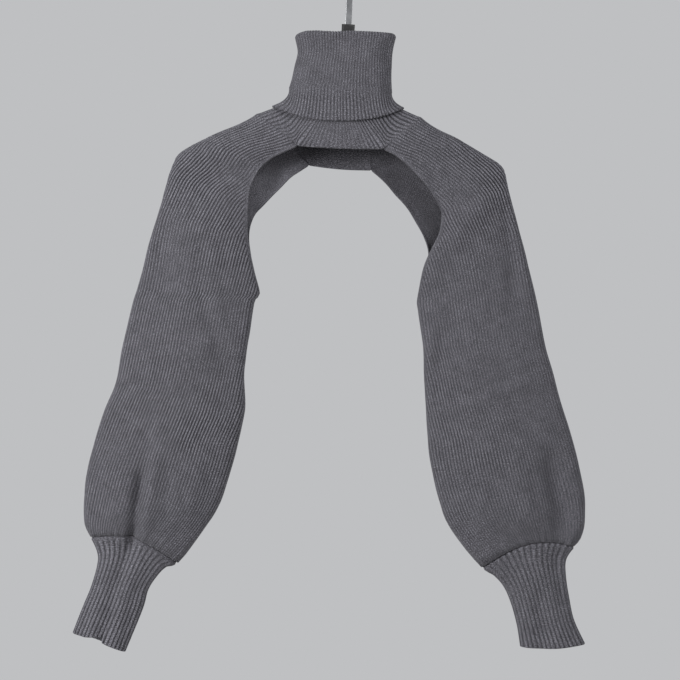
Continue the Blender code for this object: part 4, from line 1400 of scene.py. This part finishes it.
class SHRUG_OT_hanger(bpy.types.Operator):
    """Mould the hanger's body and bend its hook"""

    bl_idname = "shrug.hanger"
    bl_label = "Hanger"

    def execute(self, context):
        add_body(context.scene.shrug_hanger)
        add_hook(context.scene.shrug_hanger)
        return {"FINISHED"}


FLOOR_RADIUS = 7.0
# The lights: name, place from the middle of the view, and size of the square, in metres.
LIGHTS = (
    ("key", (-1.35, -1.35, 0.35), 0.8),
    ("side", (1.1, -1.4, 1.15), 0.8),
    ("rear", (0.9, 2.2, 1.2), 1.6),
)


class SHRUG_OT_stage(bpy.types.Operator):
    """Set up the floor, the lights and the camera"""

    bl_idname = "shrug.stage"
    bl_label = "Stage"

    def execute(self, context):
        settings = context.scene.shrug_stage
        scene = context.scene
        bpy.ops.mesh.primitive_circle_add(vertices=128, radius=FLOOR_RADIUS, fill_type="NGON",
                                          location=(0, 0, settings.floor_z))
        floor = context.object
        floor.name = "floor"
        floor.data.materials.append(new_material("painted_floor", {
            "Base Color": (*settings.ground, 1), "Roughness": 0.9})[0])

        world = bpy.data.worlds.new("studio")
        world.use_nodes = True
        world.node_tree.nodes["Background"].inputs["Color"].default_value = (*settings.paper, 1)
        world.node_tree.nodes["Background"].inputs["Strength"].default_value = 1.0
        scene.world = world
        middle = Vector((settings.frame_x, 0, settings.frame_z))
        for name, place, size in LIGHTS:
            bpy.ops.object.light_add(type="AREA", location=middle + Vector(place),
                                     rotation=(-Vector(place)).to_track_quat("-Z", "Y").to_euler())
            light = context.object
            light.name = name
            light.data.shape = "SQUARE"
            light.data.size = size
            light.data.energy = getattr(settings, f"{name}_light")

        bpy.ops.object.camera_add(location=middle + Vector((0, -settings.distance, 0)),
                                  rotation=(math.pi / 2, 0, 0))
        camera = context.object
        camera.data.sensor_width = 36.0
        camera.data.lens = camera.data.sensor_width * settings.distance / settings.frame_width
        camera.data.clip_end = 50.0
        scene.camera = camera
        scene.view_settings.view_transform = "Standard"
        return {"FINISHED"}


class SHRUG_PT_panel(bpy.types.Panel):
    """The garment's pieces, in making order"""

    bl_label = "Turtleneck shrug"
    bl_idname = "SHRUG_PT_panel"
    bl_space_type = "VIEW_3D"
    bl_region_type = "UI"
    bl_category = "Shrug"

    def draw(self, context):
        for operator in OPERATORS:
            self.layout.operator(operator.bl_idname)


OPERATORS = (SHRUG_OT_collar, SHRUG_OT_yoke, SHRUG_OT_sleeves, SHRUG_OT_cuffs, SHRUG_OT_hanger,
             SHRUG_OT_stage)
SETTINGS = {"shrug_knit": KnitSettings, "shrug_hanger": HangerSettings, "shrug_stage": StageSettings}


def register():
    """Registers the settings, operators and panel."""
    for settings in SETTINGS.values():
        bpy.utils.register_class(settings)
    for name, settings in SETTINGS.items():
        setattr(bpy.types.Scene, name, PointerProperty(type=settings))
    for made in (*OPERATORS, SHRUG_PT_panel):
        bpy.utils.register_class(made)


def unregister():
    """Takes them out again."""
    for made in reversed((*OPERATORS, SHRUG_PT_panel)):
        bpy.utils.unregister_class(made)
    for name, settings in SETTINGS.items():
        delattr(bpy.types.Scene, name)
        bpy.utils.unregister_class(settings)


def main():
    """Makes every piece in order."""
    register()
    bpy.ops.object.select_all(action="DESELECT")
    bpy.ops.shrug.collar()
    bpy.ops.shrug.yoke()
    bpy.ops.shrug.sleeves()
    bpy.ops.shrug.cuffs()
    bpy.ops.shrug.hanger()
    bpy.ops.shrug.stage()


if __name__ == "__main__":
    main()
